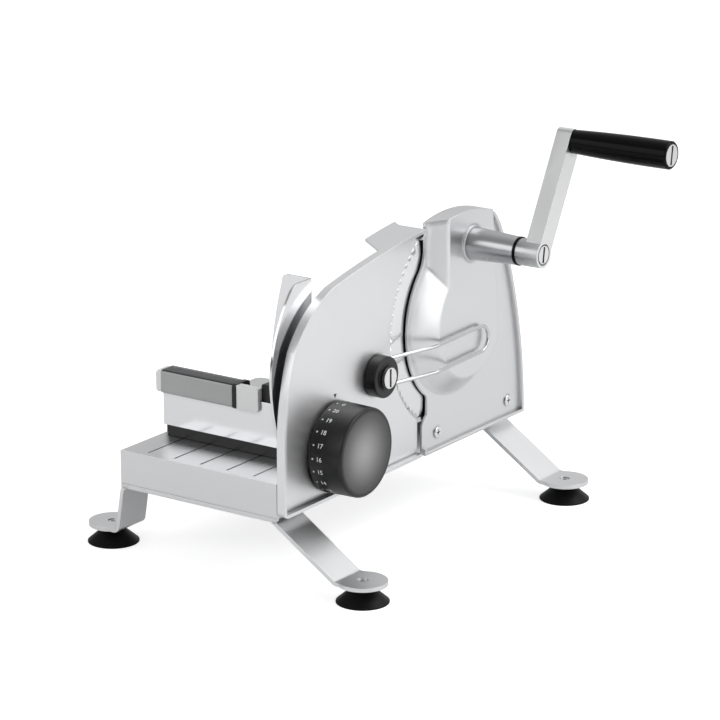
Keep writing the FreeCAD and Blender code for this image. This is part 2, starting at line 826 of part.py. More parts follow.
def gear_cover():
    """Cover with flange, lip, raised housing, crank boss and inner bosses."""
    outline = cover_outline()
    flange = slab(outline, COVER_BACK, COVER_FACE)
    top_corner, low_corner, shoulder, step = cover_corners()
    flange = flange.makeFillet(COVER_TOP_SWEEP, edges_along(flange, 0, [top_corner], 0.1))
    corners = edges_along(flange, 0, [low_corner, shoulder, step], 0.1)
    flange = flange.makeFillet(COVER_LOW_ROUND, corners)
    lip = slab(outline, COVER_FACE - 0.5, COVER_LIP_FRONT)
    lip = lip.cut(slab(shrunk(outline, COVER_LIP_THICK), COVER_FACE - 1, COVER_LIP_FRONT + 1))
    beside = box(0, COVER_LIP_FRONT, 47.0, 120.0, COVER_BOTTOM, AXIS_Z + 80)
    below = box(0, COVER_LIP_FRONT, -60.0, 120.0, COVER_BOTTOM - 1, COVER_BOTTOM + 5)
    lip = lip.common(beside.fuse(below))
    shell = housing_loft(0, COVER_FACE - 0.01, HOUSING_FRONT)
    boss = taper(
        HOUSING_FRONT - 1, CRANK_BOSS_END, 0, CRANK_Z, CRANK_BOSS_FOOT, CRANK_BOSS_TIP
    )
    collar = rod(
        HOUSING_FRONT - 1, HOUSING_FRONT + BOSS_COLLAR_THICK, 0, CRANK_Z, BOSS_COLLAR_RADIUS
    )
    body = fuse([flange, lip, shell])
    hollow = housing_loft(HOUSING_WALL, COVER_FACE, HOUSING_FRONT - HOUSING_WALL)
    body = body.cut(hollow)
    opening = slab(shrunk(housing_foot(), HOUSING_WALL, True), COVER_BACK - 1, COVER_FACE + 0.01)
    opening = opening.common(rod(COVER_BACK - 1, COVER_FACE + 0.01, 0, AXIS_Z, BLADE_RADIUS - 1))
    body = body.cut(opening)
    inside = HOUSING_FRONT - HOUSING_WALL / 2
    adds = [body, boss, collar]
    adds.append(rod(INNER_BOSS, inside, 0, AXIS_Z, HUB_TAIL + 3))
    adds.append(rod(INNER_BOSS, inside, 0, IDLER_Z, IDLER_PIN_RADIUS + 3))
    adds.append(rod(INNER_BOSS, inside, 0, CRANK_Z, CRANK_BUSH_OUTER + 2.5))
    for y, z in post_places():
        adds.append(rod(PLATE_FACE, inside, y, z, POST_RADIUS))
    body = fuse(adds)
    holes = [
        rod(INNER_BOSS - 1, CRANK_BOSS_END + 1, 0, CRANK_Z, CRANK_BUSH_OUTER),
        rod(INNER_BOSS - 1, HOUSING_FRONT - 0.8, 0, AXIS_Z, HUB_TAIL + RUN_FIT),
        rod(INNER_BOSS - 1, HOUSING_FRONT - 1, 0, IDLER_Z, IDLER_PIN_RADIUS),
    ]
    for y, z in post_places():
        holes.append(rod(PLATE_FACE - 1, PLATE_FACE + 9, y, z, POST_SCREW_RADIUS))
    for y in (COVER_SCREW_NEAR, COVER_SCREW_FAR):
        holes.append(rod(COVER_BACK - 1, COVER_FACE + 1, y, COVER_SCREW_Z, COVER_SCREW_RADIUS))
    return cut(body, holes)


def cover_screws():
    """The two screws that hold the cover to the base."""
    screws = []
    for y in (COVER_SCREW_NEAR, COVER_SCREW_FAR):
        head = rod(COVER_FACE, COVER_FACE + 1.6, y, COVER_SCREW_Z, COVER_SCREW_HEAD)
        head = head.makeFillet(0.9, [head.Edges[0]])
        shank = rod(BASE_RIGHT - 6, COVER_FACE + 0.5, y, COVER_SCREW_Z, COVER_SCREW_RADIUS)
        recess = cross_cut(0, 0, 0, 2.4, 1.2)
        recess.rotate(V(0, 0, 0), V(0, 1, 0), 90)
        recess.translate(V(COVER_FACE + 1.6, y, COVER_SCREW_Z))
        screws.append(fuse([head, shank]).cut(recess))
    return Part.makeCompound(screws)


def bearing_plate():
    """Plate behind the blade that carries the inner ends of the shafts."""
    wide = POST_Y + POST_RADIUS + 1
    low = AXIS_Z + POST_LOW - POST_RADIUS - 3
    shoulder = AXIS_Z + POST_HIGH + POST_RADIUS + 3
    top = CRANK_Z + 14
    wire = path_yz(
        (-wide, low),
        [
            ((wide, low),),
            ((wide, shoulder),),
            ((13.0, top),),
            ((-13.0, top),),
            ((-wide, shoulder),),
            ((-wide, low),),
        ],
    )
    plate = slab(wire, PLATE_BACK, PLATE_FACE)
    corners = [(-wide, low), (wide, low), (wide, shoulder), (-wide, shoulder)]
    plate = plate.makeFillet(5.0, edges_along(plate, 0, corners))
    holes = [
        rod(PLATE_BACK - 1, PLATE_FACE + 1, 0, AXIS_Z, BLADE_BUSH_OUTER),
        rod(PLATE_BACK - 1, PLATE_FACE + 1, 0, IDLER_Z, IDLER_PIN_RADIUS),
        rod(PLATE_BACK - 1, PLATE_FACE + 1, 0, CRANK_Z, SHAFT_TAIL + 3),
    ]
    for y, z in post_places():
        holes.append(post_screw(y, z))
    return cut(plate, holes)


def post_screw(y, z):
    """Countersunk screw that holds the bearing plate to a post."""
    sink = POST_SCREW_HEAD - POST_SCREW_RADIUS
    head = taper(PLATE_BACK, PLATE_BACK + sink, y, z, POST_SCREW_HEAD, POST_SCREW_RADIUS)
    shank = rod(PLATE_BACK + sink, PLATE_FACE + 8, y, z, POST_SCREW_RADIUS)
    return fuse([head, shank])


def bearing_plate_screws():
    """The screws of the bearing plate."""
    screws = []
    for y, z in post_places():
        recess = cross_cut(0, 0, 0, 1.8, 0.8)
        recess.rotate(V(0, 0, 0), V(0, 1, 0), -90)
        recess.translate(V(PLATE_BACK, y, z))
        screws.append(post_screw(y, z).cut(recess))
    return Part.makeCompound(screws)


def flanged_bush(z, outer, flange, inner):
    """Bush in the bearing plate, its flange on the gear side."""
    body = rod(PLATE_BACK, BUSH_FRONT, 0, z, outer)
    rim = rod(PLATE_FACE, BUSH_FRONT, 0, z, flange)
    return fuse([body, rim]).cut(rod(PLATE_BACK - 1, BUSH_FRONT + 1, 0, z, inner))


def blade_bush():
    """Bush round the blade hub."""
    return flanged_bush(AXIS_Z, BLADE_BUSH_OUTER, HUB_RADIUS + 3.2, HUB_RADIUS + RUN_FIT)


def crank_end_bush():
    """Bush round the inner end of the crank shaft."""
    return flanged_bush(CRANK_Z, SHAFT_TAIL + 3, SHAFT_TAIL + 5, SHAFT_TAIL + RUN_FIT)


def inner_crank_bush():
    """Bush at the foot of the crank boss."""
    last = INNER_BOSS + CRANK_BUSH_LENGTH
    return tube(INNER_BOSS, last, 0, CRANK_Z, CRANK_BUSH_OUTER, SHAFT_RADIUS + RUN_FIT)


def outer_crank_bush():
    """Bush at the outer end of the crank boss."""
    first = CRANK_BOSS_END - CRANK_BUSH_LENGTH
    return tube(first, CRANK_BOSS_END, 0, CRANK_Z, CRANK_BUSH_OUTER, SHAFT_RADIUS + RUN_FIT)


def idler_pin():
    """Fixed pin that the idler gear turns on."""
    return rod(PLATE_BACK, HOUSING_FRONT - 1, 0, IDLER_Z, IDLER_PIN_RADIUS)


def idler_washer():
    """Washer between the bearing plate and the idler gear."""
    return tube(PLATE_FACE, BUSH_FRONT, 0, IDLER_Z, IDLER_WASHER_RADIUS, IDLER_PIN_RADIUS)


def cam_follower():
    """Pin fixed in the base wall; its domed tip bears on the cam in the dial."""
    z = DIAL_Z - FOLLOWER_ORBIT
    slope = math.atan(cam_pitch() / (2 * math.pi * FOLLOWER_ORBIT))
    middle = CAM_TOP - SLIDE_GAP / 2 - FOLLOWER_RADIUS / math.cos(slope)
    first = BASE_RIGHT - BASE_WALL
    shank = rod(first, middle, DIAL_Y, z, FOLLOWER_RADIUS)
    tip = Part.makeSphere(FOLLOWER_RADIUS, V(middle, DIAL_Y, z))
    flange = rod(first - 2.5, first, DIAL_Y, z, FOLLOWER_FLANGE)
    return fuse([flange, shank, tip])


def guide_places():
    """Y of the two guide pins."""
    return (GUIDE_NEAR, GUIDE_FAR)


def guide_bracket():
    """Angle inside the base that carries the inner guide bushes."""
    ceiling = BASE_TOP - BASE_WALL
    first = GUIDE_NEAR - 16
    last = GUIDE_FAR + 16
    upright = box(BRACKET_BACK, BRACKET_BACK + BRACKET_THICK, first, last, BRACKET_LOW, ceiling)
    foot = box(BRACKET_BACK, BRACKET_BACK + BRACKET_FOOT, first, last, ceiling - 2, ceiling)
    holes = []
    for y in guide_places():
        x1 = BRACKET_BACK + BRACKET_THICK + 1
        holes.append(rod(BRACKET_BACK - 1, x1, y, GUIDE_Z, GUIDE_BUSH_OUTER))
    return cut(fuse([upright, foot]), holes)


def guide_bushes():
    """Four bushes, two in the base wall and two in the bracket."""
    bushes = []
    for y in guide_places():
        for front in (WALL_BUSH_FRONT, BRACKET_BUSH_FRONT):
            back = front - GUIDE_BUSH_LENGTH
            inner = GUIDE_RADIUS + RUN_FIT
            bushes.append(tube(back, front, y, GUIDE_Z, GUIDE_BUSH_OUTER, inner))
    return Part.makeCompound(bushes)


# Stop plate

def stop_top():
    """Circle that the top edge of the stop plate follows."""
    return circle_through(
        (STOP_TOP_START, STOP_TOP - STOP_START_DROP),
        (STOP_TOP_MID, STOP_TOP - STOP_MID_DROP),
        (STOP_TOP_END, STOP_TOP),
    )


def bay_top():
    """Height at which the blade bay meets the upright end of the stop plate."""
    return AXIS_Z + math.sqrt(STOP_BAY**2 - STOP_TOP_END**2)


def stop_outline():
    """Outline of the stop plate with the bay for the blade."""
    circle = stop_top()
    bay_low = AXIS_Z - math.sqrt(STOP_BAY**2 - STOP_RIGHT**2)
    return path_yz(
        (STOP_LEFT, STOP_BOTTOM),
        [
            ((STOP_RIGHT, STOP_BOTTOM),),
            ((STOP_RIGHT, bay_low),),
            ((-STOP_BAY, AXIS_Z), (STOP_TOP_END, bay_top())),
            ((STOP_TOP_END, height_on(circle, STOP_TOP_END)),),
            (
                (STOP_TOP_MID, height_on(circle, STOP_TOP_MID)),
                (STOP_TOP_START, height_on(circle, STOP_TOP_START)),
            ),
            (
                (STOP_SHOULDER_Y + 17.1, STOP_TOP - STOP_SHOULDER_DROP + 20.3),
                (STOP_SHOULDER_Y, STOP_TOP - STOP_SHOULDER_DROP),
            ),
            ((STOP_LEFT + 3.6, STOP_TOP - STOP_SIDE_DROP + 36.7), (STOP_LEFT, STOP_TOP - STOP_SIDE_DROP)),
            ((STOP_LEFT, STOP_BOTTOM),),
        ],
    )


def stop_roof():
    """Bent flange along the top of the stop plate, cut back so it clears the cover."""
    cy, cz, radius = stop_top()
    ring = tube(-ROOF_DEPTH, STOP_SHEET, cy, cz, radius, radius - ROOF_THICK)
    plan = [
        (STOP_SHEET, ROOF_START_Y),
        (-ROOF_DEPTH + ROOF_CORNER_BACK, ROOF_CORNER_Y),
        (-ROOF_DEPTH, STOP_TOP_END + ROOF_HORN),
        (-ROOF_DEPTH + ROOF_HORN_WIDTH, STOP_TOP_END),
        (STOP_SHEET, STOP_TOP_END),
    ]
    points = [V(x, y, AXIS_Z) for x, y in plan]
    area = Part.Face(Part.makePolygon(points + [points[0]]))
    return ring.common(area.extrude(V(0, 0, 120)))


def stop_plate():
    """Stop plate: sheet, rim, roof flange and the holes of what it carries."""
    outline = stop_outline()
    sheet = slab(outline, 0, STOP_SHEET)
    rim = slab(outline, STOP_SHEET - 0.5, STOP_RIM_FRONT)
    rim = rim.cut(slab(shrunk(outline, STOP_RIM_THICK), STOP_SHEET - 1, STOP_RIM_FRONT + 1))
    bay = rod(-1, STOP_RIM_FRONT + 1, 0, AXIS_Z, STOP_BAY + STOP_RIM_THICK + 0.5)
    bay = bay.common(box(-1, FAR, -FAR, 0, STOP_BOTTOM, bay_top() - 1.4))
    edge = box(-1, FAR, STOP_RIGHT - STOP_RIM_THICK - 0.5, 0, STOP_BOTTOM + 3, AXIS_Z - 50)
    rim = rim.cut(bay).cut(edge)
    corners = [(STOP_LEFT, STOP_BOTTOM), (STOP_RIGHT, STOP_BOTTOM)]
    body = fuse([sheet, rim, stop_roof()])
    edges = edges_along(body, 0, corners[:1])
    body = body.makeFillet(5.0, edges)
    holes = [
        rod(-1, STOP_SHEET + 1, DIAL_Y, DIAL_Z - FOLLOWER_ORBIT, FOLLOWER_RADIUS + 0.7),
        rod(-1, STOP_SHEET + 1, DEFLECTOR_Y, DEFLECTOR_Z, DEFLECTOR_RIVET),
        dial_screw_body(),
    ]
    for y in guide_places():
        holes.append(rod(-1, GUIDE_SINK, y, GUIDE_Z, GUIDE_RIVET))
    return cut(body, holes)


def guide_pins():
    """Two pins set in the back of the stop plate that slide in the base."""
    pins = []
    for y in guide_places():
        shank = rod(GUIDE_END, 0, y, GUIDE_Z, GUIDE_RADIUS)
        rivet = rod(-1, GUIDE_SINK, y, GUIDE_Z, GUIDE_RIVET)
        pins.append(fuse([shank, rivet]))
    return Part.makeCompound(pins)


def spring_collars():
    """Collars at the inner ends of the guide pins."""
    collars = []
    for y in guide_places():
        first = GUIDE_END + 1
        last = first + COLLAR_THICK
        collars.append(tube(first, last, y, GUIDE_Z, COLLAR_RADIUS, GUIDE_RADIUS))
    return Part.makeCompound(collars)


def return_springs():
    """Springs between the bracket bushes and the collars; they pull the plate to the blade."""
    first = GUIDE_END + 1 + COLLAR_THICK
    last = BRACKET_BUSH_FRONT - GUIDE_BUSH_LENGTH
    height = last - first - 2 * SPRING_WIRE
    springs = []
    for y in guide_places():
        helix = Part.makeHelix(height / SPRING_TURNS, height, SPRING_RADIUS)
        ring = Part.Wire(Part.makeCircle(SPRING_WIRE, V(SPRING_RADIUS, 0, 0), V(0, 1, 0)))
        spring = helix.makePipeShell([ring], True, True)
        spring.rotate(V(0, 0, 0), V(0, 1, 0), 90)
        spring.translate(V(first + SPRING_WIRE, y, GUIDE_Z))
        springs.append(spring)
    return Part.makeCompound(springs)


# Dial

def dial_spindle():
    """Fixed spindle of the dial, flanged where it stands on the stop plate."""
    flange = rod(STOP_SHEET, STOP_SHEET + 2, DIAL_Y, DIAL_Z, SPINDLE_FLANGE)
    shaft = rod(STOP_SHEET, SPINDLE_END, DIAL_Y, DIAL_Z, SPINDLE_RADIUS)
    clip_back = DIAL_HUB_FRONT + SLIDE_GAP
    groove = tube(
        clip_back, clip_back + CLIP_THICK, DIAL_Y, DIAL_Z, SPINDLE_RADIUS + 1, CLIP_GROOVE
    )
    return fuse([flange, shaft]).cut(groove).cut(dial_screw_body())


def dial_screw_body():
    """Countersunk screw from the food side into the spindle, without its recess."""
    sink = DIAL_SCREW_HEAD - DIAL_SCREW_SHANK
    head = taper(0, sink, DIAL_Y, DIAL_Z, DIAL_SCREW_HEAD, DIAL_SCREW_SHANK)
    shank = rod(sink, DIAL_SCREW_END, DIAL_Y, DIAL_Z, DIAL_SCREW_SHANK)
    return fuse([head, shank])


def dial_screw():
    """Countersunk screw with its cross recess."""
    recess = cross_cut(0, 0, 0, 2.2, 1.0)
    recess.rotate(V(0, 0, 0), V(0, 1, 0), -90)
    recess.translate(V(0, DIAL_Y, DIAL_Z))
    return dial_screw_body().cut(recess)


def dial_clip():
    """Clip that keeps the dial on its spindle."""
    back = DIAL_HUB_FRONT + SLIDE_GAP
    ring = tube(back, back + CLIP_THICK, DIAL_Y, DIAL_Z, CLIP_OUTER, CLIP_GROOVE)
    gap = box(back - 1, back + 2, DIAL_Y - 2.6, DIAL_Y + 2.6, DIAL_Z, DIAL_Z + CLIP_OUTER + 1)
    return ring.cut(gap)


def cam_pitch():
    """Climb of the cam over a full turn; the numbers take all but one of the dial's steps."""
    return STOP_TRAVEL * DIAL_STEPS / (DIAL_STEPS - 1)


def cam_space():
    """What lies behind the helical face: it climbs one step of thickness per number."""
    turn = 360.0 / DIAL_STEPS
    climb = STOP_TRAVEL
    inner = Part.makeHelix(cam_pitch(), climb, CAM_INNER - 1)
    outer = Part.makeHelix(cam_pitch(), climb, CAM_OUTER + 1)
    face = Part.makeRuledSurface(inner.Edges[0], outer.Edges[0])
    below = face.extrude(V(0, 0, -climb - 5))
    turn_to_frame = FreeCAD.Rotation(V(1, 1, 1), 120)
    below.Placement = FreeCAD.Placement(V(0, 0, 0), turn_to_frame).multiply(below.Placement)
    below.rotate(V(0, 0, 0), V(1, 0, 0), -90 + turn)
    below.translate(V(CAM_TOP - climb, DIAL_Y, DIAL_Z))
    half = turn / 2
    sector = Part.makeCylinder(CAM_OUTER + 1, climb + 5, V(0, 0, 0), V(0, 0, 1), half)
    sector.Placement = FreeCAD.Placement(V(0, 0, 0), turn_to_frame)
    sector.rotate(V(0, 0, 0), V(1, 0, 0), -90)
    sector.translate(V(CAM_TOP - climb - 5, DIAL_Y, DIAL_Z))
    return [below, sector]


def dial_cam():
    """Inner part of the dial: hub on the spindle, web, drum and helical face cam."""
    ring = tube(CAM_TOP - STOP_TRAVEL, CAM_PLATE, DIAL_Y, DIAL_Z, CAM_OUTER, CAM_INNER)
    ring = cut(ring, cam_space())
    hub_back = STOP_SHEET + 2 + SLIDE_GAP
    hub = rod(hub_back, DIAL_HUB_FRONT, DIAL_Y, DIAL_Z, DIAL_HUB_OUTER)
    web_front = CAM_WEB_BACK + CAM_WEB_THICK
    web = rod(CAM_WEB_BACK, web_front, DIAL_Y, DIAL_Z, CAM_INNER)
    drum_inner = CAM_INNER - CAM_DRUM
    drum = tube(CAM_WEB_BACK, CAM_PLATE, DIAL_Y, DIAL_Z, CAM_INNER, drum_inner)
    body = fuse([web, hub, drum, ring])
    bore = rod(hub_back - 1, DIAL_HUB_FRONT + 1, DIAL_Y, DIAL_Z, SPINDLE_RADIUS + RUN_FIT)
    return body.cut(bore)


def dial_knob():
    """Outer shell of the dial with a dished front."""
    outer = taper(
        DIAL_BACK, DIAL_FRONT, DIAL_Y, DIAL_Z, DIAL_BACK_RADIUS, DIAL_FRONT_RADIUS
    )
    rims = [e for e in outer.Edges if abs(e.BoundBox.XMin - DIAL_FRONT) < 0.01]
    rims = [e for e in rims if abs(e.BoundBox.XMax - DIAL_FRONT) < 0.01]
    outer = outer.makeFillet(2.2, rims)
    hollow = taper(
        DIAL_BACK - 1,
        CAM_PLATE,
        DIAL_Y,
        DIAL_Z,
        DIAL_BACK_RADIUS - DIAL_WALL,
        DIAL_FRONT_RADIUS - DIAL_WALL,
    )
    reach = DIAL_FRONT_RADIUS - 4
    ball = (reach**2 + DIAL_DISH**2) / (2 * DIAL_DISH)
    dish = Part.makeSphere(ball, V(DIAL_FRONT - DIAL_DISH + ball, DIAL_Y, DIAL_Z))
    return outer.cut(hollow).cut(dish)


# Slice deflector

def deflector_hub():
    """Black hub of the deflector with two sockets for the wire."""
    body = rod(DEFLECTOR_BACK, DEFLECTOR_FACE, DEFLECTOR_Y, DEFLECTOR_Z, DEFLECTOR_RADIUS)
    body = body.makeFillet(1.2, [body.Edges[0], body.Edges[2]])
    boss = rod(DEFLECTOR_FACE - 1, DEFLECTOR_BOSS_FACE, DEFLECTOR_Y, DEFLECTOR_Z, DEFLECTOR_BOSS)
    body = fuse([body, boss])
    bore = rod(0, DEFLECTOR_BOSS_FACE + 1, DEFLECTOR_Y, DEFLECTOR_Z, DEFLECTOR_STEM + RUN_FIT)
    return body.cut(bore).cut(deflector_wire())


def deflector_wire():
    """Bent wire loop that leads the slices off the blade."""
    span = V(WIRE_BEND_X - WIRE_ROOT_X, WIRE_BEND_Y - WIRE_ROOT_Y, 0)
    turn = math.atan2(span.x, span.y)
    bend = 9.0
    reach = bend * math.tan(turn / 2)
    along = V(span).normalize()
    middle = DEFLECTOR_Z + WIRE_RISE
    tip = WIRE_TIP_Y - WIRE_RADIUS - WIRE_HALF_GAP
    corner = V(WIRE_BEND_X, WIRE_BEND_Y, 0)
    before = corner - along * reach
    after = corner + V(0, reach, 0)
    centre = after - V(bend, 0, 0)
    halfway = centre + V(bend * math.cos(turn / 2), -bend * math.sin(turn / 2), 0)

    def leg(side):
        lift = V(0, 0, middle + side * WIRE_HALF_GAP)
        root = V(WIRE_ROOT_X, WIRE_ROOT_Y, 0) + lift
        end = V(WIRE_BEND_X, tip, 0) + lift
        return [
            Part.LineSegment(root, before + lift).toShape(),
            Part.Arc(before + lift, halfway + lift, after + lift).toShape(),
            Part.LineSegment(after + lift, end).toShape(),
        ]

    low = leg(-1)
    high = leg(1)
    loop = Part.Arc(
        V(WIRE_BEND_X, tip, middle - WIRE_HALF_GAP),
        V(WIRE_BEND_X, tip + WIRE_HALF_GAP, middle),
        V(WIRE_BEND_X, tip, middle + WIRE_HALF_GAP),
    ).toShape()
    high.reverse()
    path = Part.Wire(low + [loop] + high)
    start = V(WIRE_ROOT_X, WIRE_ROOT_Y, middle - WIRE_HALF_GAP)
    ring = Part.Wire(Part.makeCircle(WIRE_RADIUS, start, along))
    wire = path.makePipeShell([ring], True, False)
    wire.rotate(V(0, DEFLECTOR_Y, DEFLECTOR_Z), V(1, 0, 0), WIRE_TILT)
    return wire


def deflector_screw():
    """Slotted shoulder screw that the deflector turns on."""
    back = DEFLECTOR_BOSS_FACE + SLIDE_GAP
    front = back + DEFLECTOR_SCREW_THICK
    step = back + DEFLECTOR_FLANGE_THICK
    flange = rod(back, step, DEFLECTOR_Y, DEFLECTOR_Z, DEFLECTOR_SCREW_FLANGE)
    head = rod(back, front, DEFLECTOR_Y, DEFLECTOR_Z, DEFLECTOR_SCREW_HEAD)
    stem = rod(STOP_SHEET, back + 0.5, DEFLECTOR_Y, DEFLECTOR_Z, DEFLECTOR_STEM)
    rivet = rod(0, STOP_SHEET + 1, DEFLECTOR_Y, DEFLECTOR_Z, DEFLECTOR_RIVET)
    slot = slot_cut(front, DEFLECTOR_Y, DEFLECTOR_Z, DEFLECTOR_SCREW_HEAD - SLOT_MARGIN, 0)
    return fuse([flange, head, stem, rivet]).cut(slot)


# Crank

def crank_shaft():
    """Shaft with a thin inner end and a square outer end."""
    tail = rod(PLATE_BACK + 0.2, GEAR_BACK, 0, CRANK_Z, SHAFT_TAIL)
    body = rod(GEAR_BACK - 0.2, WASHER_FRONT, 0, CRANK_Z, SHAFT_RADIUS)
    half = SHAFT_SQUARE / 2
    square = box(WASHER_FRONT - 1, SQUARE_END, -half, half, -half, half)
    square.rotate(V(0, 0, 0), V(1, 0, 0), -ARM_LEAN)
    square.translate(V(0, 0, CRANK_Z))
    hole = rod(ARM_BACK, ARM_FACE, 0, CRANK_Z, CRANK_SCREW_SHANK)
    return fuse([tail, body, square]).cut(hole)


def crank_gear():
    """Large gear on the crank shaft, a tooth pointing at the idler."""
    return gear(CRANK_TEETH, CRANK_Z, SHAFT_RADIUS, -90)


def crank_washer():
    """Black washer between the boss and the arm."""
    first = CRANK_BOSS_END + SLIDE_GAP
    return tube(first, WASHER_FRONT, 0, CRANK_Z, CRANK_BOSS_TIP + 0.3, SHAFT_RADIUS)


def grip_place():
    """Y and Z of the grip axis."""
    return on_circle(ARM_LENGTH, 90 - ARM_LEAN, 0, CRANK_Z)


def crank_arm():
    """Crank arm with its hub."""
    half = ARM_WIDTH / 2
    tip = CRANK_Z + ARM_LENGTH + ARM_TIP
    bar = box(ARM_BACK, ARM_FACE, -half, half, CRANK_Z, tip)
    bar = bar.makeFillet(ARM_CORNER, edges_along(bar, 0, [(-half, tip), (half, tip)]))
    bar.rotate(V(0, 0, CRANK_Z), V(1, 0, 0), -ARM_LEAN)
    hub = rod(WASHER_FRONT, ARM_FACE, 0, CRANK_Z, ARM_HUB_RADIUS)
    arm = fuse([bar, hub])
    square = SHAFT_SQUARE / 2
    hole = box(WASHER_FRONT - 1, SQUARE_END, -square, square, -square, square)
    hole.rotate(V(0, 0, 0), V(1, 0, 0), -ARM_LEAN)
    hole.translate(V(0, 0, CRANK_Z))
    screw_hole = rod(SQUARE_END - 1, ARM_FACE + 1, 0, CRANK_Z, CRANK_SCREW_SHANK)
    sink_radius = CRANK_SCREW_HEAD + CRANK_SCREW_RING
    sink = rod(ARM_FACE - CRANK_SCREW_SINK, ARM_FACE + 1, 0, CRANK_Z, sink_radius)
    y, z = grip_place()
    pin_hole = rod(ARM_BACK, ARM_FACE + 1, y, z, GRIP_THREAD_RADIUS)
    return cut(arm, [hole, screw_hole, sink, pin_hole])


def crank_screw():
    """Slotted screw that holds the arm on the shaft."""
    seat = ARM_FACE - CRANK_SCREW_SINK
    head = rod(seat, ARM_FACE, 0, CRANK_Z, CRANK_SCREW_HEAD)
    shank = rod(ARM_BACK, seat + 0.5, 0, CRANK_Z, CRANK_SCREW_SHANK)
    slot = slot_cut(ARM_FACE, 0, CRANK_Z, CRANK_SCREW_HEAD - SLOT_MARGIN, SLOT_LEAN)
    return fuse([head, shank]).cut(slot)


def grip_screw():
    """Long shoulder screw that the grip turns on, with a slotted head at the end."""
    y, z = grip_place()
    thread = rod(ARM_BACK, ARM_FACE + 0.5, y, z, GRIP_THREAD_RADIUS)
    seat = GRIP_LAST - GRIP_RECESS + FREE_GAP
    shank = rod(ARM_FACE, seat + 0.5, y, z, GRIP_PIN_RADIUS)
    head = rod(seat, GRIP_LAST, y, z, GRIP_CAP_RADIUS)
    slot = slot_cut(GRIP_LAST, y, z, GRIP_CAP_RADIUS - SLOT_MARGIN, SLOT_LEAN)
    return fuse([thread, shank, head]).cut(slot)


def grip_handle():
    """Turning grip with a slight belly and a recess for the head of its screw."""
    y, z = grip_place()
    middle = (GRIP_FIRST + GRIP_LAST) / 2
    bore = GRIP_PIN_RADIUS + RUN_FIT
    recess = GRIP_CAP_RADIUS + FREE_GAP
    seat = GRIP_LAST - GRIP_RECESS
    wire = path_xz(
        (GRIP_FIRST, bore),
        [
            ((GRIP_FIRST, GRIP_ROOT_RADIUS - 0.8),),
            ((GRIP_FIRST + 0.8, GRIP_ROOT_RADIUS),),
            ((middle, GRIP_MID_RADIUS), (GRIP_LAST - GRIP_END_ROUND, GRIP_END_RADIUS)),
            ((GRIP_LAST, GRIP_END_RADIUS - GRIP_END_ROUND),),
            ((GRIP_LAST, recess),),
            ((seat, recess),),
            ((seat, bore),),
            ((GRIP_FIRST, bore),),
        ],
    )
    grip = Part.Face(wire).revolve(V(0, 0, 0), V(1, 0, 0), 360)
    grip.translate(V(0, y, z))
    return grip


# Idler and blade

def idler_gear():
    """Idler between the crank gear and the blade gear, a gap on top."""
    return gear(IDLER_TEETH, IDLER_Z, IDLER_PIN_RADIUS + RUN_FIT, -90)


def blade_gear():
    """Hub of the blade with its gear, spigot and tail."""
    first_tooth = 90 + 180.0 / BLADE_TEETH
    wheel = gear(BLADE_TEETH, AXIS_Z, HUB_SPIGOT, first_tooth)
    journal = rod(BLADE_THICK, GEAR_BACK + 0.5, 0, AXIS_Z, HUB_RADIUS)
    core = rod(GEAR_BACK, GEAR_FRONT, 0, AXIS_Z, HUB_SPIGOT + 1)
    tail = rod(GEAR_FRONT - 0.5, HOUSING_FRONT - 1.2, 0, AXIS_Z, HUB_TAIL)
    spigot = hub_spigot(0)
    hole = rod(-1, LOCK_DEPTH, 0, AXIS_Z, LOCK_SHANK)
    return fuse([wheel, journal, core, tail, spigot]).cut(hole)


def hub_spigot(back):
    """Flatted end of the hub that turns the blade."""
    spigot = rod(back, BLADE_THICK + 0.5, 0, AXIS_Z, HUB_SPIGOT)
    wide = HUB_SPIGOT + 1
    flats = box(back, BLADE_THICK + 0.5, -wide, wide, AXIS_Z - HUB_FLAT, AXIS_Z + HUB_FLAT)
    return spigot.common(flats)


def slicing_blade():
    """Round blade, flat on the food side, bevelled and scalloped on the other."""
    inner = BLADE_RADIUS - BEVEL_WIDTH
    disc = rod(0, EDGE_THICK, 0, AXIS_Z, BLADE_RADIUS)
    bevel = taper(EDGE_THICK, BLADE_THICK, 0, AXIS_Z, BLADE_RADIUS, inner)
    blade = disc.fuse(bevel)
    tools = []
    for number in range(SCALLOP_COUNT):
        place = BLADE_RADIUS - SCALLOP_DEPTH + SCALLOP_RADIUS
        y, z = on_circle(place, number * 360.0 / SCALLOP_COUNT, 0, AXIS_Z)
        tools.append(rod(-1, BLADE_THICK + 1, y, z, SCALLOP_RADIUS))
    blade = blade.cut(Part.makeCompound(tools))
    return blade.cut(hub_spigot(-1)).removeSplitter()


def blade_lock_screw():
    """Large headed screw that clamps the blade, with a coin slot."""
    head = rod(-LOCK_HEAD_THICK, 0, 0, AXIS_Z, LOCK_HEAD_RADIUS)
    rim = [e for e in head.Edges if abs(e.BoundBox.XMax + LOCK_HEAD_THICK) < 0.01]
    head = head.makeChamfer(1.4, rim)
    shank = rod(-1, LOCK_DEPTH - 0.5, 0, AXIS_Z, LOCK_SHANK)
    reach = LOCK_HEAD_RADIUS - 5
    slot = box(-LOCK_HEAD_THICK - 1, -LOCK_HEAD_THICK + 1.3, -1.5, 1.5, -reach, reach)
    slot.translate(V(0, 0, AXIS_Z))
    return fuse([head, shank]).cut(slot)


# Carriage

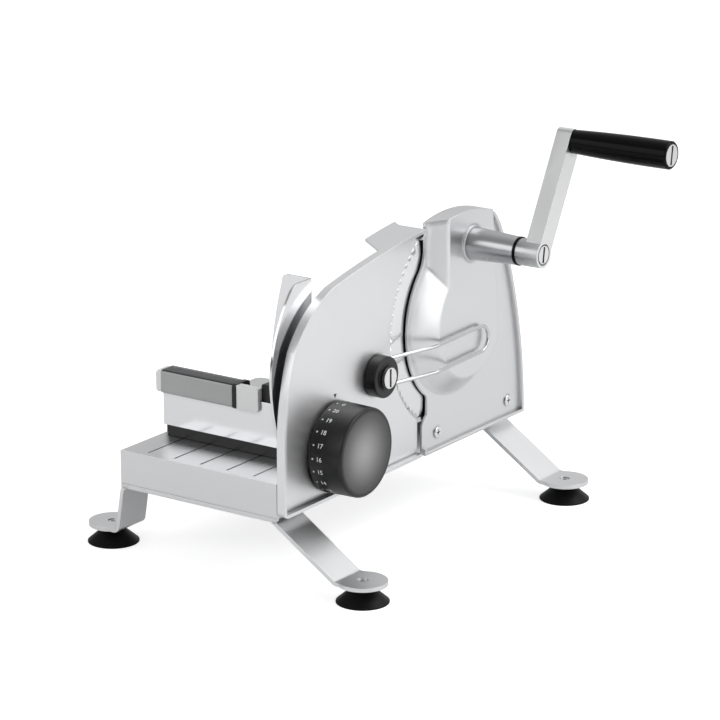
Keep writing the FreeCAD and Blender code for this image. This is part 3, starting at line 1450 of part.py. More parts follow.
def carriage_wall():
    """Upright wall with the hand guard and its bent flange, one sheet."""
    wire = path_xz(
        (WALL_LEFT, WALL_BOTTOM),
        [
            ((GUARD_RIGHT, WALL_BOTTOM),),
            ((GUARD_RIGHT, GUARD_TOP),),
            ((GUARD_TOP_LEFT, GUARD_TOP),),
            ((GUARD_SIDE_TOP + 1.7, GUARD_TOP - 1.0), (GUARD_SIDE_TOP, GUARD_TOP - 5.0)),
            ((GUARD_SIDE_MID, GUARD_SIDE_MID_Z), (GUARD_LEFT_LOW, WALL_TOP)),
            ((WALL_LEFT, WALL_TOP),),
            ((WALL_LEFT, WALL_BOTTOM),),
        ],
        WALL_FRONT,
    )
    wall = Part.Face(wire).extrude(V(0, WALL_SHEET, 0))
    top = GUARD_TOP
    flange_wire = path_yz(
        (WALL_FRONT + WALL_SHEET, top),
        [
            ((FLANGE_TOP_END, top),),
            ((FLANGE_CORNER + 3.9, top - 2.2), (FLANGE_CORNER, top - 6.0)),
            ((FLANGE_HIGH_Y, FLANGE_HIGH_Z), (FLANGE_OUT_Y, FLANGE_OUT_Z)),
            ((FLANGE_BEND_Y, FLANGE_BEND_Z), (FLANGE_LOW_Y, FLANGE_LOW_Z)),
            ((FLANGE_FOOT, WALL_BOTTOM),),
            ((WALL_FRONT + WALL_SHEET, WALL_BOTTOM),),
            ((WALL_FRONT + WALL_SHEET, top),),
        ],
    )
    flange = slab(flange_wire, GUARD_RIGHT - WALL_SHEET, GUARD_RIGHT)
    body = fuse([wall, flange])
    corner = edges_along(body, 2, [(GUARD_RIGHT, WALL_FRONT + WALL_SHEET)])
    return body.makeFillet(WALL_SHEET, corner)


def carriage_floor():
    """Tray that the food stands on."""
    first = WALL_FRONT + WALL_SHEET
    floor = box(WALL_LEFT, GUARD_RIGHT, first, FLOOR_REAR, FLOOR_TOP - WALL_SHEET, FLOOR_TOP)
    corners = [(WALL_LEFT, FLOOR_REAR), (GUARD_RIGHT, FLOOR_REAR)]
    return floor.makeFillet(6.0, edges_along(floor, 2, corners))


def glide(y, left):
    """Plastic glide below the carriage."""
    low = BASE_TOP + SLIDE_GAP
    return box(left, GLIDE_RIGHT, y, y + GLIDE_WIDTH, low, FLOOR_TOP - WALL_SHEET)


def carriage_hook():
    """Hook that grips the guide groove in the side of the base."""
    inner = BASE_LEFT - FREE_GAP
    first = HOOK_FIRST_Y
    last = first + HOOK_LENGTH
    top = FLOOR_TOP - WALL_SHEET
    plate = box(inner - HOOK_THICK, inner, first, last, HOOK_LOW, top)
    bridge = box(inner - 1, WALL_LEFT + 6, first, last, HOOK_BRIDGE, top)
    tooth = box(inner - 1, inner + HOOK_TOOTH_REACH, first, last, HOOK_LOW, HOOK_LOW + HOOK_TOOTH)
    return fuse([plate, bridge, tooth])


# Food holder

def wall_slot(x0, x1):
    """Slot in the holder pieces that straddles the carriage wall."""
    gap = SLIDE_GAP * 1.5
    first = WALL_FRONT - gap
    last = WALL_FRONT + WALL_SHEET + gap
    return box(x0 - 1, x1 + 1, first, last, HOLDER_LOW - 5, WALL_TOP + SLIDE_GAP)


def holder_box(x0, x1, low, top, grow, corner):
    """Rounded box section of the holder, grown front and back, with its corner radius."""
    first = HOLDER_FRONT - grow
    last = HOLDER_FRONT + HOLDER_DEPTH + grow
    body = box(x0, x1, first, last, low, top)
    corners = [(first, low), (first, top), (last, low), (last, top)]
    return body.makeFillet(corner, edges_along(body, 0, corners))


def holder_rod():
    """Rod that joins the holder pieces to the remainder plate."""
    return rod(SLEEVE_LEFT - 4, HEAD_RIGHT - 3, HOLDER_ROD_Y, HOLDER_ROD_Z, HOLDER_ROD_RADIUS)


def core_box(x0, x1):
    """Space of the grey core inside the sleeve."""
    return box(
        x0,
        x1,
        WALL_FRONT + WALL_SHEET + 1.5,
        HOLDER_FRONT + HOLDER_DEPTH - SLEEVE_SKIN,
        HOLDER_LOW + SLEEVE_SKIN,
        HOLDER_TOP - SLEEVE_SKIN,
    )


def holder_sleeve():
    """Smoked sleeve round the core."""
    body = holder_box(SLEEVE_LEFT, SLEEVE_RIGHT, HOLDER_LOW, HOLDER_TOP, 0, SLEEVE_ROUND)
    pocket = core_box(SLEEVE_LEFT + SLEEVE_SKIN, SLEEVE_RIGHT + 1)
    return cut(body, [wall_slot(SLEEVE_LEFT, SLEEVE_RIGHT), pocket, holder_rod()])


def holder_core():
    """Grey core inside the sleeve."""
    return core_box(SLEEVE_LEFT + SLEEVE_SKIN, SLEEVE_RIGHT).cut(holder_rod())


def holder_end_cap():
    """Light cap at the outer end of the sleeve, slotted for the wall like the sleeve."""
    cap = holder_box(CAP_LEFT, SLEEVE_LEFT, HOLDER_LOW, CAP_TOP, -CAP_INSET, CAP_ROUND)
    end = [e for e in cap.Edges if e.BoundBox.XMax < CAP_LEFT + 0.01]
    cap = cap.makeFillet(CAP_ROUND / 2, end)
    return cap.cut(wall_slot(CAP_LEFT, SLEEVE_LEFT)).cut(holder_rod())


def holder_ring():
    """Black ring between the sleeve and the block."""
    low = HOLDER_LOW - RING_PROUD
    top = HOLDER_TOP + RING_PROUD
    ring = holder_box(SLEEVE_RIGHT, RING_RIGHT, low, top, RING_PROUD, SLEEVE_ROUND)
    return ring.cut(wall_slot(SLEEVE_RIGHT, RING_RIGHT)).cut(holder_rod())


def holder_block():
    """Light block that runs on the wall, in front of the rod."""
    last = HOLDER_FRONT + BLOCK_DEPTH
    block = box(RING_RIGHT, BLOCK_RIGHT, HOLDER_FRONT, last, HOLDER_LOW, HOLDER_TOP)
    block = block.makeFillet(BLOCK_ROUND, edges_along(block, 1, [(BLOCK_RIGHT, HOLDER_LOW)]))
    return block.cut(wall_slot(RING_RIGHT, BLOCK_RIGHT))


def remainder_plate():
    """Dark plate that pushes the food, with a thick head on the wall side."""
    first = WALL_FRONT + WALL_SHEET + FREE_GAP
    low = FLOOR_TOP + FREE_GAP
    head = box(BLOCK_RIGHT, HEAD_RIGHT, first, first + HEAD_DEPTH, WALL_TOP - 6, HEAD_TOP)
    corners = [(BLOCK_RIGHT, HEAD_TOP), (HEAD_RIGHT, HEAD_TOP)]
    head = head.makeFillet(1.5, edges_along(head, 1, corners))
    plate = box(HEAD_RIGHT - PLATE_THICK, HEAD_RIGHT, first, PLATE_REAR, low, HEAD_TOP)
    plate = plate.makeFillet(6.0, edges_along(plate, 0, [(PLATE_REAR, HEAD_TOP)]))
    body = fuse([head, plate])
    holes = [holder_rod()] + [spike(y, z) for y, z in spike_places()]
    return cut(body, holes)


def spike_places():
    """Y and Z of the spikes on the remainder plate."""
    first = WALL_FRONT + WALL_SHEET + 12
    return [
        (first + column * SPIKE_PITCH, FLOOR_TOP + 8 + row * 12)
        for column in range(3)
        for row in range(2)
    ]


def spike(y, z):
    """One spike, its root set in the plate."""
    root = rod(HEAD_RIGHT - 2.5, HEAD_RIGHT, y, z, SPIKE_RADIUS)
    point = taper(HEAD_RIGHT, HEAD_RIGHT + SPIKE_LENGTH, y, z, SPIKE_RADIUS, 0.2)
    return root.fuse(point)


def plate_spikes():
    """Spikes that hold the last piece of food."""
    return Part.makeCompound([spike(y, z) for y, z in spike_places()])


FRONT_Y, REAR_Y = bar_centres()

NODES = {
    "base_platform": base_platform,
    "front_leg_bar": lambda: leg_bar(FRONT_Y),
    "rear_leg_bar": lambda: leg_bar(REAR_Y),
    "bar_screws": bar_screws,
    "foot_screws": foot_screws,
    "front_left_suction_cup": lambda: suction_cup(FOOT_LEFT, FRONT_Y),
    "front_right_suction_cup": lambda: suction_cup(FOOT_RIGHT, FRONT_Y),
    "rear_left_suction_cup": lambda: suction_cup(FOOT_LEFT, REAR_Y),
    "rear_right_suction_cup": lambda: suction_cup(FOOT_RIGHT, REAR_Y),
    "gear_cover": gear_cover,
    "cover_screws": cover_screws,
    "bearing_plate": bearing_plate,
    "bearing_plate_screws": bearing_plate_screws,
    "blade_bush": blade_bush,
    "crank_end_bush": crank_end_bush,
    "inner_crank_bush": inner_crank_bush,
    "outer_crank_bush": outer_crank_bush,
    "idler_pin": idler_pin,
    "idler_washer": idler_washer,
    "cam_follower": cam_follower,
    "guide_bracket": guide_bracket,
    "guide_bushes": guide_bushes,
    "stop_plate": stop_plate,
    "guide_pins": guide_pins,
    "spring_collars": spring_collars,
    "return_springs": return_springs,
    "dial_spindle": dial_spindle,
    "dial_screw": dial_screw,
    "dial_clip": dial_clip,
    "dial_cam": dial_cam,
    "dial_knob": dial_knob,
    "deflector_hub": deflector_hub,
    "deflector_wire": deflector_wire,
    "deflector_screw": deflector_screw,
    "crank_shaft": crank_shaft,
    "crank_gear": crank_gear,
    "crank_washer": crank_washer,
    "crank_arm": crank_arm,
    "crank_screw": crank_screw,
    "grip_screw": grip_screw,
    "grip_handle": grip_handle,
    "idler_gear": idler_gear,
    "blade_gear": blade_gear,
    "slicing_blade": slicing_blade,
    "blade_lock_screw": blade_lock_screw,
    "carriage_wall": carriage_wall,
    "carriage_floor": carriage_floor,
    "front_glide": lambda: glide(FRONT_GLIDE_Y, GLIDE_LEFT),
    "rear_glide": lambda: glide(REAR_GLIDE_Y, WALL_LEFT),
    "carriage_hook": carriage_hook,
    "holder_sleeve": holder_sleeve,
    "holder_core": holder_core,
    "holder_end_cap": holder_end_cap,
    "holder_ring": holder_ring,
    "holder_block": holder_block,
    "holder_rod": holder_rod,
    "remainder_plate": remainder_plate,
    "plate_spikes": plate_spikes,
}

for name, make in NODES.items():
    shape = make()
    shape.translate(V(SHIFT_X, SHIFT_Y, 0))
    shape.exportStep("parts/" + name + ".step")
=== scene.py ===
"""Hand cranked food slicer on suction feet.

Dresses the solids in their finishes, prints the scale of the dial, grinds the blade, gives the
springs a mesh of their own, and sets up the studio.
"""

import logging
import math
from collections.abc import Callable
from dataclasses import dataclass, field, replace
from enum import Enum

import bmesh
import bpy
from mathutils import Matrix, Vector


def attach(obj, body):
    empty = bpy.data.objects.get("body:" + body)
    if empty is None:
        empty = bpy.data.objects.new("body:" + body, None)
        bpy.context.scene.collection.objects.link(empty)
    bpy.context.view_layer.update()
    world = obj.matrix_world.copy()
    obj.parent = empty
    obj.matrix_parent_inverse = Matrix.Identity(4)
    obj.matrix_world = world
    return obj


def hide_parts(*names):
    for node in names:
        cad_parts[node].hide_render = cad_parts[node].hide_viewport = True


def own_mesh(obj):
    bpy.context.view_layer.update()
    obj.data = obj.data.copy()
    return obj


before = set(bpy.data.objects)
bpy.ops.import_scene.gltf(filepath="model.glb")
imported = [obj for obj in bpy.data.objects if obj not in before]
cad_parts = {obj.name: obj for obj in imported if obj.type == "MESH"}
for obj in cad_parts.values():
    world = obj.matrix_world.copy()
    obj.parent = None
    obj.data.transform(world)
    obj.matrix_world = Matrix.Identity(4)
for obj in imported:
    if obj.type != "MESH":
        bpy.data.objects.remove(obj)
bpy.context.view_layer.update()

log = logging.getLogger("slicer")
logging.basicConfig(level=logging.INFO, format="%(name)s: %(message)s")

Triple = tuple[float, float, float]
Socket = bpy.types.NodeSocket

MM = 0.001
# From the drawing's origin, below the middle of the blade, to the scene's.
SHIFT = Vector((10.6, 67.8, 0.0))
AXIS_Z = 156.3
CRANK_Z = 217.3
# Share of a normal from which a face looks along an axis.
FACING = 0.5
# Turns a shape that was made round Z so that it stands round X.
ROUND_X = Matrix(((0, 0, 1, 0), (1, 0, 0, 0), (0, 1, 0, 0), (0, 0, 0, 1)))
# Closer than this, in metres, two corners of a mesh are one.
WELD = 1e-7
# From this angle on, an edge of a mesh stays sharp.
SHARP = math.radians(30)


def at(x: float, y: float, z: float) -> Vector:
    """Point of the drawing frame, in millimetres, as a point of the scene, in metres."""
    return (Vector((x, y, z)) + SHIFT) * MM


def off_axis(place: Vector, y: float, z: float) -> float:
    """Distance of a place from a line along X."""
    return math.hypot(place.y - y, place.z - z)


class Grain(Enum):
    """Ways in which a surface was worked."""

    BLASTED = "blasted"
    BRUSHED = "brushed"
    TURNED = "turned"
    MOULDED = "moulded"


class Wiring:
    """Adds nodes to a node tree and links them."""

    def __init__(self, tree: bpy.types.NodeTree) -> None:
        """Starts with an empty tree.

        Args:
            tree: Tree to fill; what it holds is removed.
        """
        self.tree = tree
        tree.nodes.clear()

    def link(self, source: Socket, target: Socket) -> None:
        """Joins an output to an input."""
        self.tree.links.new(source, target)

    def add(self, kind: str, inputs: dict | None = None, **settings: object) -> bpy.types.Node:
        """Adds one node.

        Args:
            kind: Blender's name of the node type.
            inputs: Values or output sockets, by the input's name or number.
            settings: Properties of the node.

        Returns:
            The new node.
        """
        node = self.tree.nodes.new(kind)
        for name, value in settings.items():
            setattr(node, name, value)
        for key, value in (inputs or {}).items():
            if isinstance(value, Socket):
                self.link(value, node.inputs[key])
            else:
                node.inputs[key].default_value = value
        return node

    def math(self, operation: str, first: object, second: object = 0.0) -> Socket:
        """Adds a Math node.

        Args:
            operation: What it works out.
            first: Value or socket.
            second: Value or socket.

        Returns:
            Its result.
        """
        return self.add("ShaderNodeMath", {0: first, 1: second}, operation=operation).outputs[0]

    def vector(self, operation: str, first: object, second: object = (0.0, 0.0, 0.0)) -> Socket:
        """Adds a Vector Math node.

        Args:
            operation: What it works out.
            first: Vector or socket.
            second: Vector or socket.

        Returns:
            Its result, which is a number for a length or a dot product.
        """
        node = self.add("ShaderNodeVectorMath", {0: first, 1: second}, operation=operation)
        return node.outputs["Value" if operation in ("LENGTH", "DOT_PRODUCT") else "Vector"]

    def scaled(self, vector: Socket, factor: Socket) -> Socket:
        """Adds a Vector Math node that scales.

        Args:
            vector: Vector or colour.
            factor: How much it is scaled.

        Returns:
            Its result.
        """
        inputs = {0: vector, "Scale": factor}
        return self.add("ShaderNodeVectorMath", inputs, operation="SCALE").outputs["Vector"]

    def fade(
        self,
        value: Socket,
        span: tuple[object, object],
        levels: tuple[float, float],
        curve: str = "SMOOTHSTEP",
    ) -> Socket:
        """Adds a Map Range node.

        Args:
            value: What is mapped.
            span: Where the change starts and ends.
            levels: Results at the two ends.
            curve: How the result changes between them.

        Returns:
            Its result.
        """
        return self.add(
            "ShaderNodeMapRange",
            {
                "Value": value,
                "From Min": span[0],
                "From Max": span[1],
                "To Min": levels[0],
                "To Max": levels[1],
            },
            interpolation_type=curve,
        ).outputs[0]


def new_group(
    name: str, inputs: dict[str, object], outputs: dict[str, str]
) -> tuple[Wiring, bpy.types.Node, bpy.types.Node]:
    """Makes an empty shader node group.

    Args:
        name: Name of the group.
        inputs: Default value of each input, by name.
        outputs: Socket type of each output, by name.

    Returns:
        The wiring of the group, its input node and its output node.
    """
    group = bpy.data.node_groups.new(name, "ShaderNodeTree")
    for key, value in inputs.items():
        kind = "NodeSocketFloat"
        if isinstance(value, tuple):
            kind = "NodeSocketColor" if len(value) == 4 else "NodeSocketVector"
        socket = group.interface.new_socket(key, in_out="INPUT", socket_type=kind)
        socket.default_value = value
    for key, kind in outputs.items():
        group.interface.new_socket(key, in_out="OUTPUT", socket_type=kind)
    wiring = Wiring(group)
    return wiring, wiring.add("NodeGroupInput"), wiring.add("NodeGroupOutput")


# Every grain has the same inputs, also those that it has no use for.
GRAIN_INPUTS = {"Scale": 3000.0, "Turn": (0.0, 0.0, 0.0), "Centre": (0.0, 0.0, 0.0)}


class SurfaceEffects:
    """Shader groups that the finishes share, each built once."""

    tone_detail: float = 3.0
    tone_roughness: float = 0.55
    grain_detail: float = 2.0
    even: Triple = (1.0, 1.0, 1.0)
    drawn_out: Triple = (1.0, 1.0, 0.03)
    across_x: Triple = (0.0, 1.0, 1.0)
    rim_samples: int = 6
    rim_gain: float = 4.0

    def __init__(self) -> None:
        """Builds the groups."""
        self.tone = self._tone()
        self.grain = {
            Grain.BLASTED: self._speckle("blasted_grain", self.even),
            Grain.MOULDED: self._speckle("moulded_grain", self.even),
            Grain.BRUSHED: self._speckle("brushed_grain", self.drawn_out),
            Grain.TURNED: self._rings(),
        }
        self.rim = self._rim()
        self.disc = self._disc()

    def _tone(self) -> bpy.types.NodeTree:
        """Colour and roughness that change slowly over a surface, with edge wear and painted edge
        highlight, and painted shade in crevices.

        Returns:
            The group.
        """
        wiring, given, result = new_group(
            "surface_tone",
            {
                "Colour": (0.8, 0.8, 0.8, 1.0),
                "Spread": 0.05,
                "Roughness": 0.4,
                "Roughness Spread": 0.05,
                "Scale": 25.0,
                "Wear And Highlight": 0.0,
                "Wear And Highlight Colour": (0.9, 0.9, 0.9, 1.0),
                "Open": 1.0,
                "Painted Crevice Shade": 0.3,
            },
            {"Colour": "NodeSocketColor", "Roughness": "NodeSocketFloat"},
        )
        noise = wiring.add(
            "ShaderNodeTexNoise",
            {
                "Vector": wiring.add("ShaderNodeTexCoord").outputs["Object"],
                "Scale": given.outputs["Scale"],
                "Detail": self.tone_detail,
                "Roughness": self.tone_roughness,
            },
        ).outputs["Fac"]
        centred = wiring.math("SUBTRACT", noise, 0.5)
        uneven = wiring.math("MULTIPLY", centred, given.outputs["Spread"])
        shade = wiring.scaled(given.outputs["Colour"], wiring.math("ADD", uneven, 1.0))
        # Mixes in the paler colour: on edges real wear and a painted highlight, on the dial face a
        # painted sheen.
        worn = wiring.add(
            "ShaderNodeMix",
            {"Factor": given.outputs["Wear And Highlight"], "A": shade, "B": given.outputs["Wear And Highlight Colour"]},
            data_type="RGBA",
            clamp_factor=True,
        ).outputs["Result"]
        # Painted shade: the colour is darkened where the ambient occlusion of the rim group finds a
        # crevice.
        closed = wiring.math("SUBTRACT", 1.0, given.outputs["Open"])
        painted_shade_share = wiring.math("MULTIPLY", closed, given.outputs["Painted Crevice Shade"])
        colour = wiring.scaled(worn, wiring.math("SUBTRACT", 1.0, painted_shade_share))
        change = wiring.math("MULTIPLY", centred, given.outputs["Roughness Spread"])
        rough = wiring.math("ADD", change, given.outputs["Roughness"])
        wiring.link(colour, result.inputs["Colour"])
        wiring.link(rough, result.inputs["Roughness"])
        return wiring.tree

    def _speckle(self, name: str, stretch: Triple) -> bpy.types.NodeTree:
        """Fine grain, or lines where it is stretched along one axis.

        Args:
            name: Name of the group.
            stretch: Factors on the three axes before the scale.

        Returns:
            The group.
        """
        wiring, given, result = new_group(name, GRAIN_INPUTS, {"Height": "NodeSocketFloat"})
        turned = wiring.add(
            "ShaderNodeVectorRotate",
            {
                "Vector": wiring.add("ShaderNodeTexCoord").outputs["Object"],
                "Rotation": given.outputs["Turn"],
            },
            rotation_type="EULER_XYZ",
        ).outputs[0]
        noise = wiring.add(
            "ShaderNodeTexNoise",
            {
                "Vector": wiring.vector("MULTIPLY", turned, stretch),
                "Scale": given.outputs["Scale"],
                "Detail": self.grain_detail,
            },
        )
        wiring.link(noise.outputs["Fac"], result.inputs["Height"])
        return wiring.tree

    def _rings(self) -> bpy.types.NodeTree:
        """Fine rings round an axis along X, as a lathe or a grinder leaves them.

        Returns:
            The group.
        """
        height = {"Height": "NodeSocketFloat"}
        wiring, given, result = new_group("turned_grain", GRAIN_INPUTS, height)
        place = wiring.add("ShaderNodeTexCoord").outputs["Object"]
        away = wiring.vector("SUBTRACT", place, given.outputs["Centre"])
        parts = wiring.add("ShaderNodeSeparateXYZ", {0: away})
        squares = [wiring.math("POWER", parts.outputs[axis], 2.0) for axis in ("Y", "Z")]
        radius = wiring.math("SQRT", wiring.math("ADD", *squares))
        noise = wiring.add(
            "ShaderNodeTexNoise",
            {"W": radius, "Scale": given.outputs["Scale"], "Detail": self.grain_detail},
            noise_dimensions="1D",
        )
        wiring.link(noise.outputs["Fac"], result.inputs["Height"])
        return wiring.tree

    def _disc(self) -> bpy.types.NodeTree:
        """Mask of a round patch of painted sheen, fading out from its middle.

        Returns:
            The group.
        """
        wiring, given, result = new_group(
            "worn_disc",
            {"Centre": (0.0, 0.0, 0.0), "Radius": 0.03},
            {"Mask": "NodeSocketFloat"},
        )
        place = wiring.add("ShaderNodeTexCoord").outputs["Object"]
        away = wiring.vector("SUBTRACT", place, given.outputs["Centre"])
        reach = wiring.vector("LENGTH", wiring.vector("MULTIPLY", away, self.across_x))
        share = wiring.math("DIVIDE", reach, given.outputs["Radius"])
        wiring.link(wiring.fade(share, (0.0, 1.0), (1.0, 0.0)), result.inputs["Mask"])
        return wiring.tree

    def _rim(self) -> bpy.types.NodeTree:
        """Rounded corners, a mask of rounded edges for real wear and a painted highlight, and how
        open a place is, for painted shade in crevices.

        Returns:
            The group.
        """
        wiring, given, result = new_group(
            "rounded_rim",
            {"Radius": 0.0004, "Amount": 1.0, "Reach": 0.004},
            {"Mask": "NodeSocketFloat", "Normal": "NodeSocketVector", "Open": "NodeSocketFloat"},
        )
        rounded = wiring.add(
            "ShaderNodeBevel", {"Radius": given.outputs["Radius"]}, samples=self.rim_samples
        ).outputs[0]
        true = wiring.add("ShaderNodeNewGeometry").outputs["Normal"]
        lean = wiring.math("SUBTRACT", 1.0, wiring.vector("DOT_PRODUCT", rounded, true))
        gained = wiring.math("MULTIPLY", lean, self.rim_gain)
        mask = wiring.math("MULTIPLY", gained, given.outputs["Amount"])
        # Ambient occlusion, used only to paint shade into crevices.
        open_air = wiring.add(
            "ShaderNodeAmbientOcclusion",
            {"Distance": given.outputs["Reach"]},
            samples=self.rim_samples,
        ).outputs["AO"]
        wiring.link(open_air, result.inputs["Open"])
        wiring.link(mask, result.inputs["Mask"])
        wiring.link(rounded, result.inputs["Normal"])
        return wiring.tree


@dataclass(frozen=True)
class Finish:
    """One finish, with everything its material needs. Lengths are in metres."""

    name: str
    colour: Triple
    roughness: float
    metallic: float = 0.0
    grain: Grain = Grain.MOULDED
    grain_scale: float = 3000.0
    grain_depth: float = 0.00001
    turn: Triple = (0.0, 0.0, 0.0)
    centre: Triple = (0.0, 0.0, 0.0)
    spread: float = 0.04
    roughness_spread: float = 0.06
    tone_scale: float = 25.0
    rounding: float = 0.0004
    # How far rounded edges turn to the paler colour: partly real wear, partly a painted edge
    # highlight.
    wear: float = 0.0
    worn: Triple = (0.9, 0.9, 0.9)
    worn_disc: float = 0.0
    # Share of the colour taken away as painted shade in crevices, and how far the occlusion test
    # reaches.
    crevice: float = 0.5
    reach: float = 0.004
    coat: float = 0.0
    coat_roughness: float = 0.05
    specular: float = 0.5
    alpha: float = 1.0
    anisotropic: float = 0.0

    def material(self, effects: SurfaceEffects) -> bpy.types.Material:
        """Makes the material.

        Args:
            effects: The shared shader groups.

        Returns:
            The material.
        """
        made = bpy.data.materials.new(self.name)
        made.use_nodes = True
        made.diffuse_color = (*self.colour, self.alpha)
        wiring = Wiring(made.node_tree)

        rim = wiring.add(
            "ShaderNodeGroup",
            node_tree=effects.rim,
            label="rounded rim",
            inputs={"Radius": self.rounding, "Amount": self.wear, "Reach": self.reach},
        )
        wear = rim.outputs["Mask"]
        # On the dial face a disc of painted sheen takes the place of the edge mask.
        if self.worn_disc:
            wear = wiring.add(
                "ShaderNodeGroup",
                node_tree=effects.disc,
                label="painted sheen disc",
                inputs={"Centre": self.centre, "Radius": self.worn_disc},
            ).outputs["Mask"]
        tone = wiring.add(
            "ShaderNodeGroup",
            node_tree=effects.tone,
            label="tone",
            inputs={
                "Colour": (*self.colour, 1.0),
                "Wear And Highlight Colour": (*self.worn, 1.0),
                "Spread": self.spread,
                "Roughness": self.roughness,
                "Roughness Spread": self.roughness_spread,
                "Scale": self.tone_scale,
                "Painted Crevice Shade": self.crevice,
                "Open": rim.outputs["Open"],
                "Wear And Highlight": wear,
            },
        )
        grain = wiring.add(
            "ShaderNodeGroup",
            node_tree=effects.grain[self.grain],
            label=self.grain.value,
            inputs={"Scale": self.grain_scale, "Turn": self.turn, "Centre": self.centre},
        )
        bump = wiring.add(
            "ShaderNodeBump",
            {
                "Height": grain.outputs["Height"],
                "Normal": rim.outputs["Normal"],
                "Strength": 1.0,
                "Distance": self.grain_depth,
            },
        )
        shader = wiring.add(
            "ShaderNodeBsdfPrincipled",
            {
                "Base Color": tone.outputs["Colour"],
                "Roughness": tone.outputs["Roughness"],
                "Normal": bump.outputs["Normal"],
                "Metallic": self.metallic,
                "Specular IOR Level": self.specular,
                "Coat Weight": self.coat,
                "Coat Roughness": self.coat_roughness,
                "Anisotropic": self.anisotropic,
                "Alpha": self.alpha,
            },
        )
        wiring.add("ShaderNodeOutputMaterial", {"Surface": shader.outputs[0]})
        return made


# What the metal finishes start from.
METAL = Finish(
    "blasted_metal",
    (0.74, 0.745, 0.755),
    0.34,
    metallic=1.0,
    grain=Grain.BLASTED,
    grain_scale=2600.0,
    grain_depth=0.000006,
)
SATIN = replace(
    METAL, name="satin_cover", rounding=0.0018, wear=0.1, crevice=0.8, reach=0.0025
)
SATIN_SOFT = replace(SATIN, name="satin_housing", rounding=0.006, wear=0.0, crevice=0.6)
SATIN_PLATE = replace(
    METAL,
    name="satin_stop_plate",
    colour=(0.80, 0.805, 0.815),
    roughness=0.38,
    wear=0.3,
    crevice=0.9,
    reach=0.0025,
)
LEG = replace(METAL, name="leg_aluminium", wear=0.5)
SATIN_BASE = replace(LEG, name="satin_platform", colour=(0.72, 0.725, 0.735), roughness=0.36)
POLISHED = replace(
    METAL,
    name="bright_carriage",
    colour=(0.77, 0.775, 0.785),
    roughness=0.14,
    grain_scale=2200.0,
    grain_depth=0.000003,
    wear=0.3,
)
ARM = replace(
    METAL,
    name="arm_aluminium",
    colour=(0.80, 0.805, 0.81),
    roughness=0.30,
    grain=Grain.BRUSHED,
    grain_scale=5200.0,
    turn=(math.radians(28.3), 0.0, 0.0),
    wear=0.4,
    anisotropic=0.3,
)
# Rougher milled finish for the arm's edges facing along Y, darker in colour as painted shade.
ARM_EDGE_SHADE = replace(ARM, name="arm_edge_shade", colour=(0.66, 0.665, 0.67), roughness=0.5, wear=0.2)
BOSS = replace(
    METAL,
    name="turned_boss",
    colour=(0.46, 0.465, 0.475),
    roughness=0.28,
    grain=Grain.BRUSHED,
    grain_scale=5200.0,
    grain_depth=0.000002,
    turn=(0.0, math.radians(90.0), 0.0),
    crevice=0.8,
    reach=0.003,
)
BLADE = replace(
    METAL,
    name="ground_steel",
    colour=(0.80, 0.805, 0.815),
    roughness=0.15,
    grain=Grain.TURNED,
    grain_scale=1500.0,
    grain_depth=0.000004,
    centre=tuple(at(0, 0, AXIS_Z)),
    rounding=0.00008,
    roughness_spread=0.08,
    crevice=0.2,
)
TURNED_STEEL = replace(
    METAL,
    name="turned_screw_steel",
    colour=(0.80, 0.80, 0.805),
    roughness=0.24,
    grain_scale=4000.0,
    grain_depth=0.000004,
    rounding=0.0002,
    crevice=0.9,
    reach=0.003,
)
WIRE = replace(
    METAL,
    name="bright_wire",
    colour=(0.62, 0.62, 0.63),
    roughness=0.10,
    grain_scale=2500.0,
    grain_depth=0.000002,
    rounding=0.0001,
)
PLAIN_STEEL = replace(
    METAL,
    name="plain_steel",
    colour=(0.58, 0.585, 0.60),
    roughness=0.36,
    grain_scale=3200.0,
    grain_depth=0.000008,
    spread=0.08,
)
BRASS = replace(
    METAL,
    name="sintered_bronze",
    colour=(0.62, 0.42, 0.20),
    roughness=0.44,
    grain_scale=2200.0,
    grain_depth=0.00002,
    spread=0.12,
)
RUBBER = Finish(
    "black_rubber",
    (0.004, 0.004, 0.0045),
    0.40,
    grain_scale=1800.0,
    grain_depth=0.000008,
    specular=0.12,
)
DIAL_BLACK = Finish(
    "fine_black_plastic",
    (0.008, 0.008, 0.0085),
    0.34,
    grain_scale=5200.0,
    grain_depth=0.000014,
    rounding=0.0009,
    specular=0.4,
)
# Dished face of the dial: a lighter patch, fading from its middle to black at its rim, is painted
# sheen.
DIAL_FACE_SHEEN = replace(
    DIAL_BLACK,
    name="dial_face_painted_sheen",
    colour=(0.012, 0.012, 0.0125),
    roughness=0.40,
    centre=tuple(at(0, -162.6, 94.2)),
    specular=0.8,
    worn=(0.30, 0.30, 0.302),
    worn_disc=0.034,
)
GRIP_BLACK = Finish(
    "polished_black_grip",
    (0.004, 0.004, 0.0045),
    0.14,
    grain_scale=900.0,
    grain_depth=0.000004,
    rounding=0.0006,
    specular=0.08,
)
CAM_WHITE = Finish("cam_plastic", (0.72, 0.71, 0.68), 0.38)
CORE_GREY = Finish("core_plastic", (0.56, 0.56, 0.57), 0.42)
CAP_LIGHT = Finish("cap_plastic", (0.82, 0.825, 0.83), 0.34, coat=0.2)
SMOKED = Finish(
    "smoked_plastic",
    (0.52, 0.525, 0.53),
    0.09,
    grain_scale=700.0,
    grain_depth=0.000003,
    rounding=0.0006,
    alpha=0.82,
)
# Darker copy of the smoked plastic for the sleeve's upward faces: painted shade.
SMOKED_TOP_SHADE = replace(
    SMOKED, name="smoked_plastic_top_shade", colour=(0.06, 0.062, 0.066), alpha=0.72
)
PRINT = Finish("white_print", (0.80, 0.80, 0.80), 0.5, grain_scale=6000.0, rounding=0.00002)


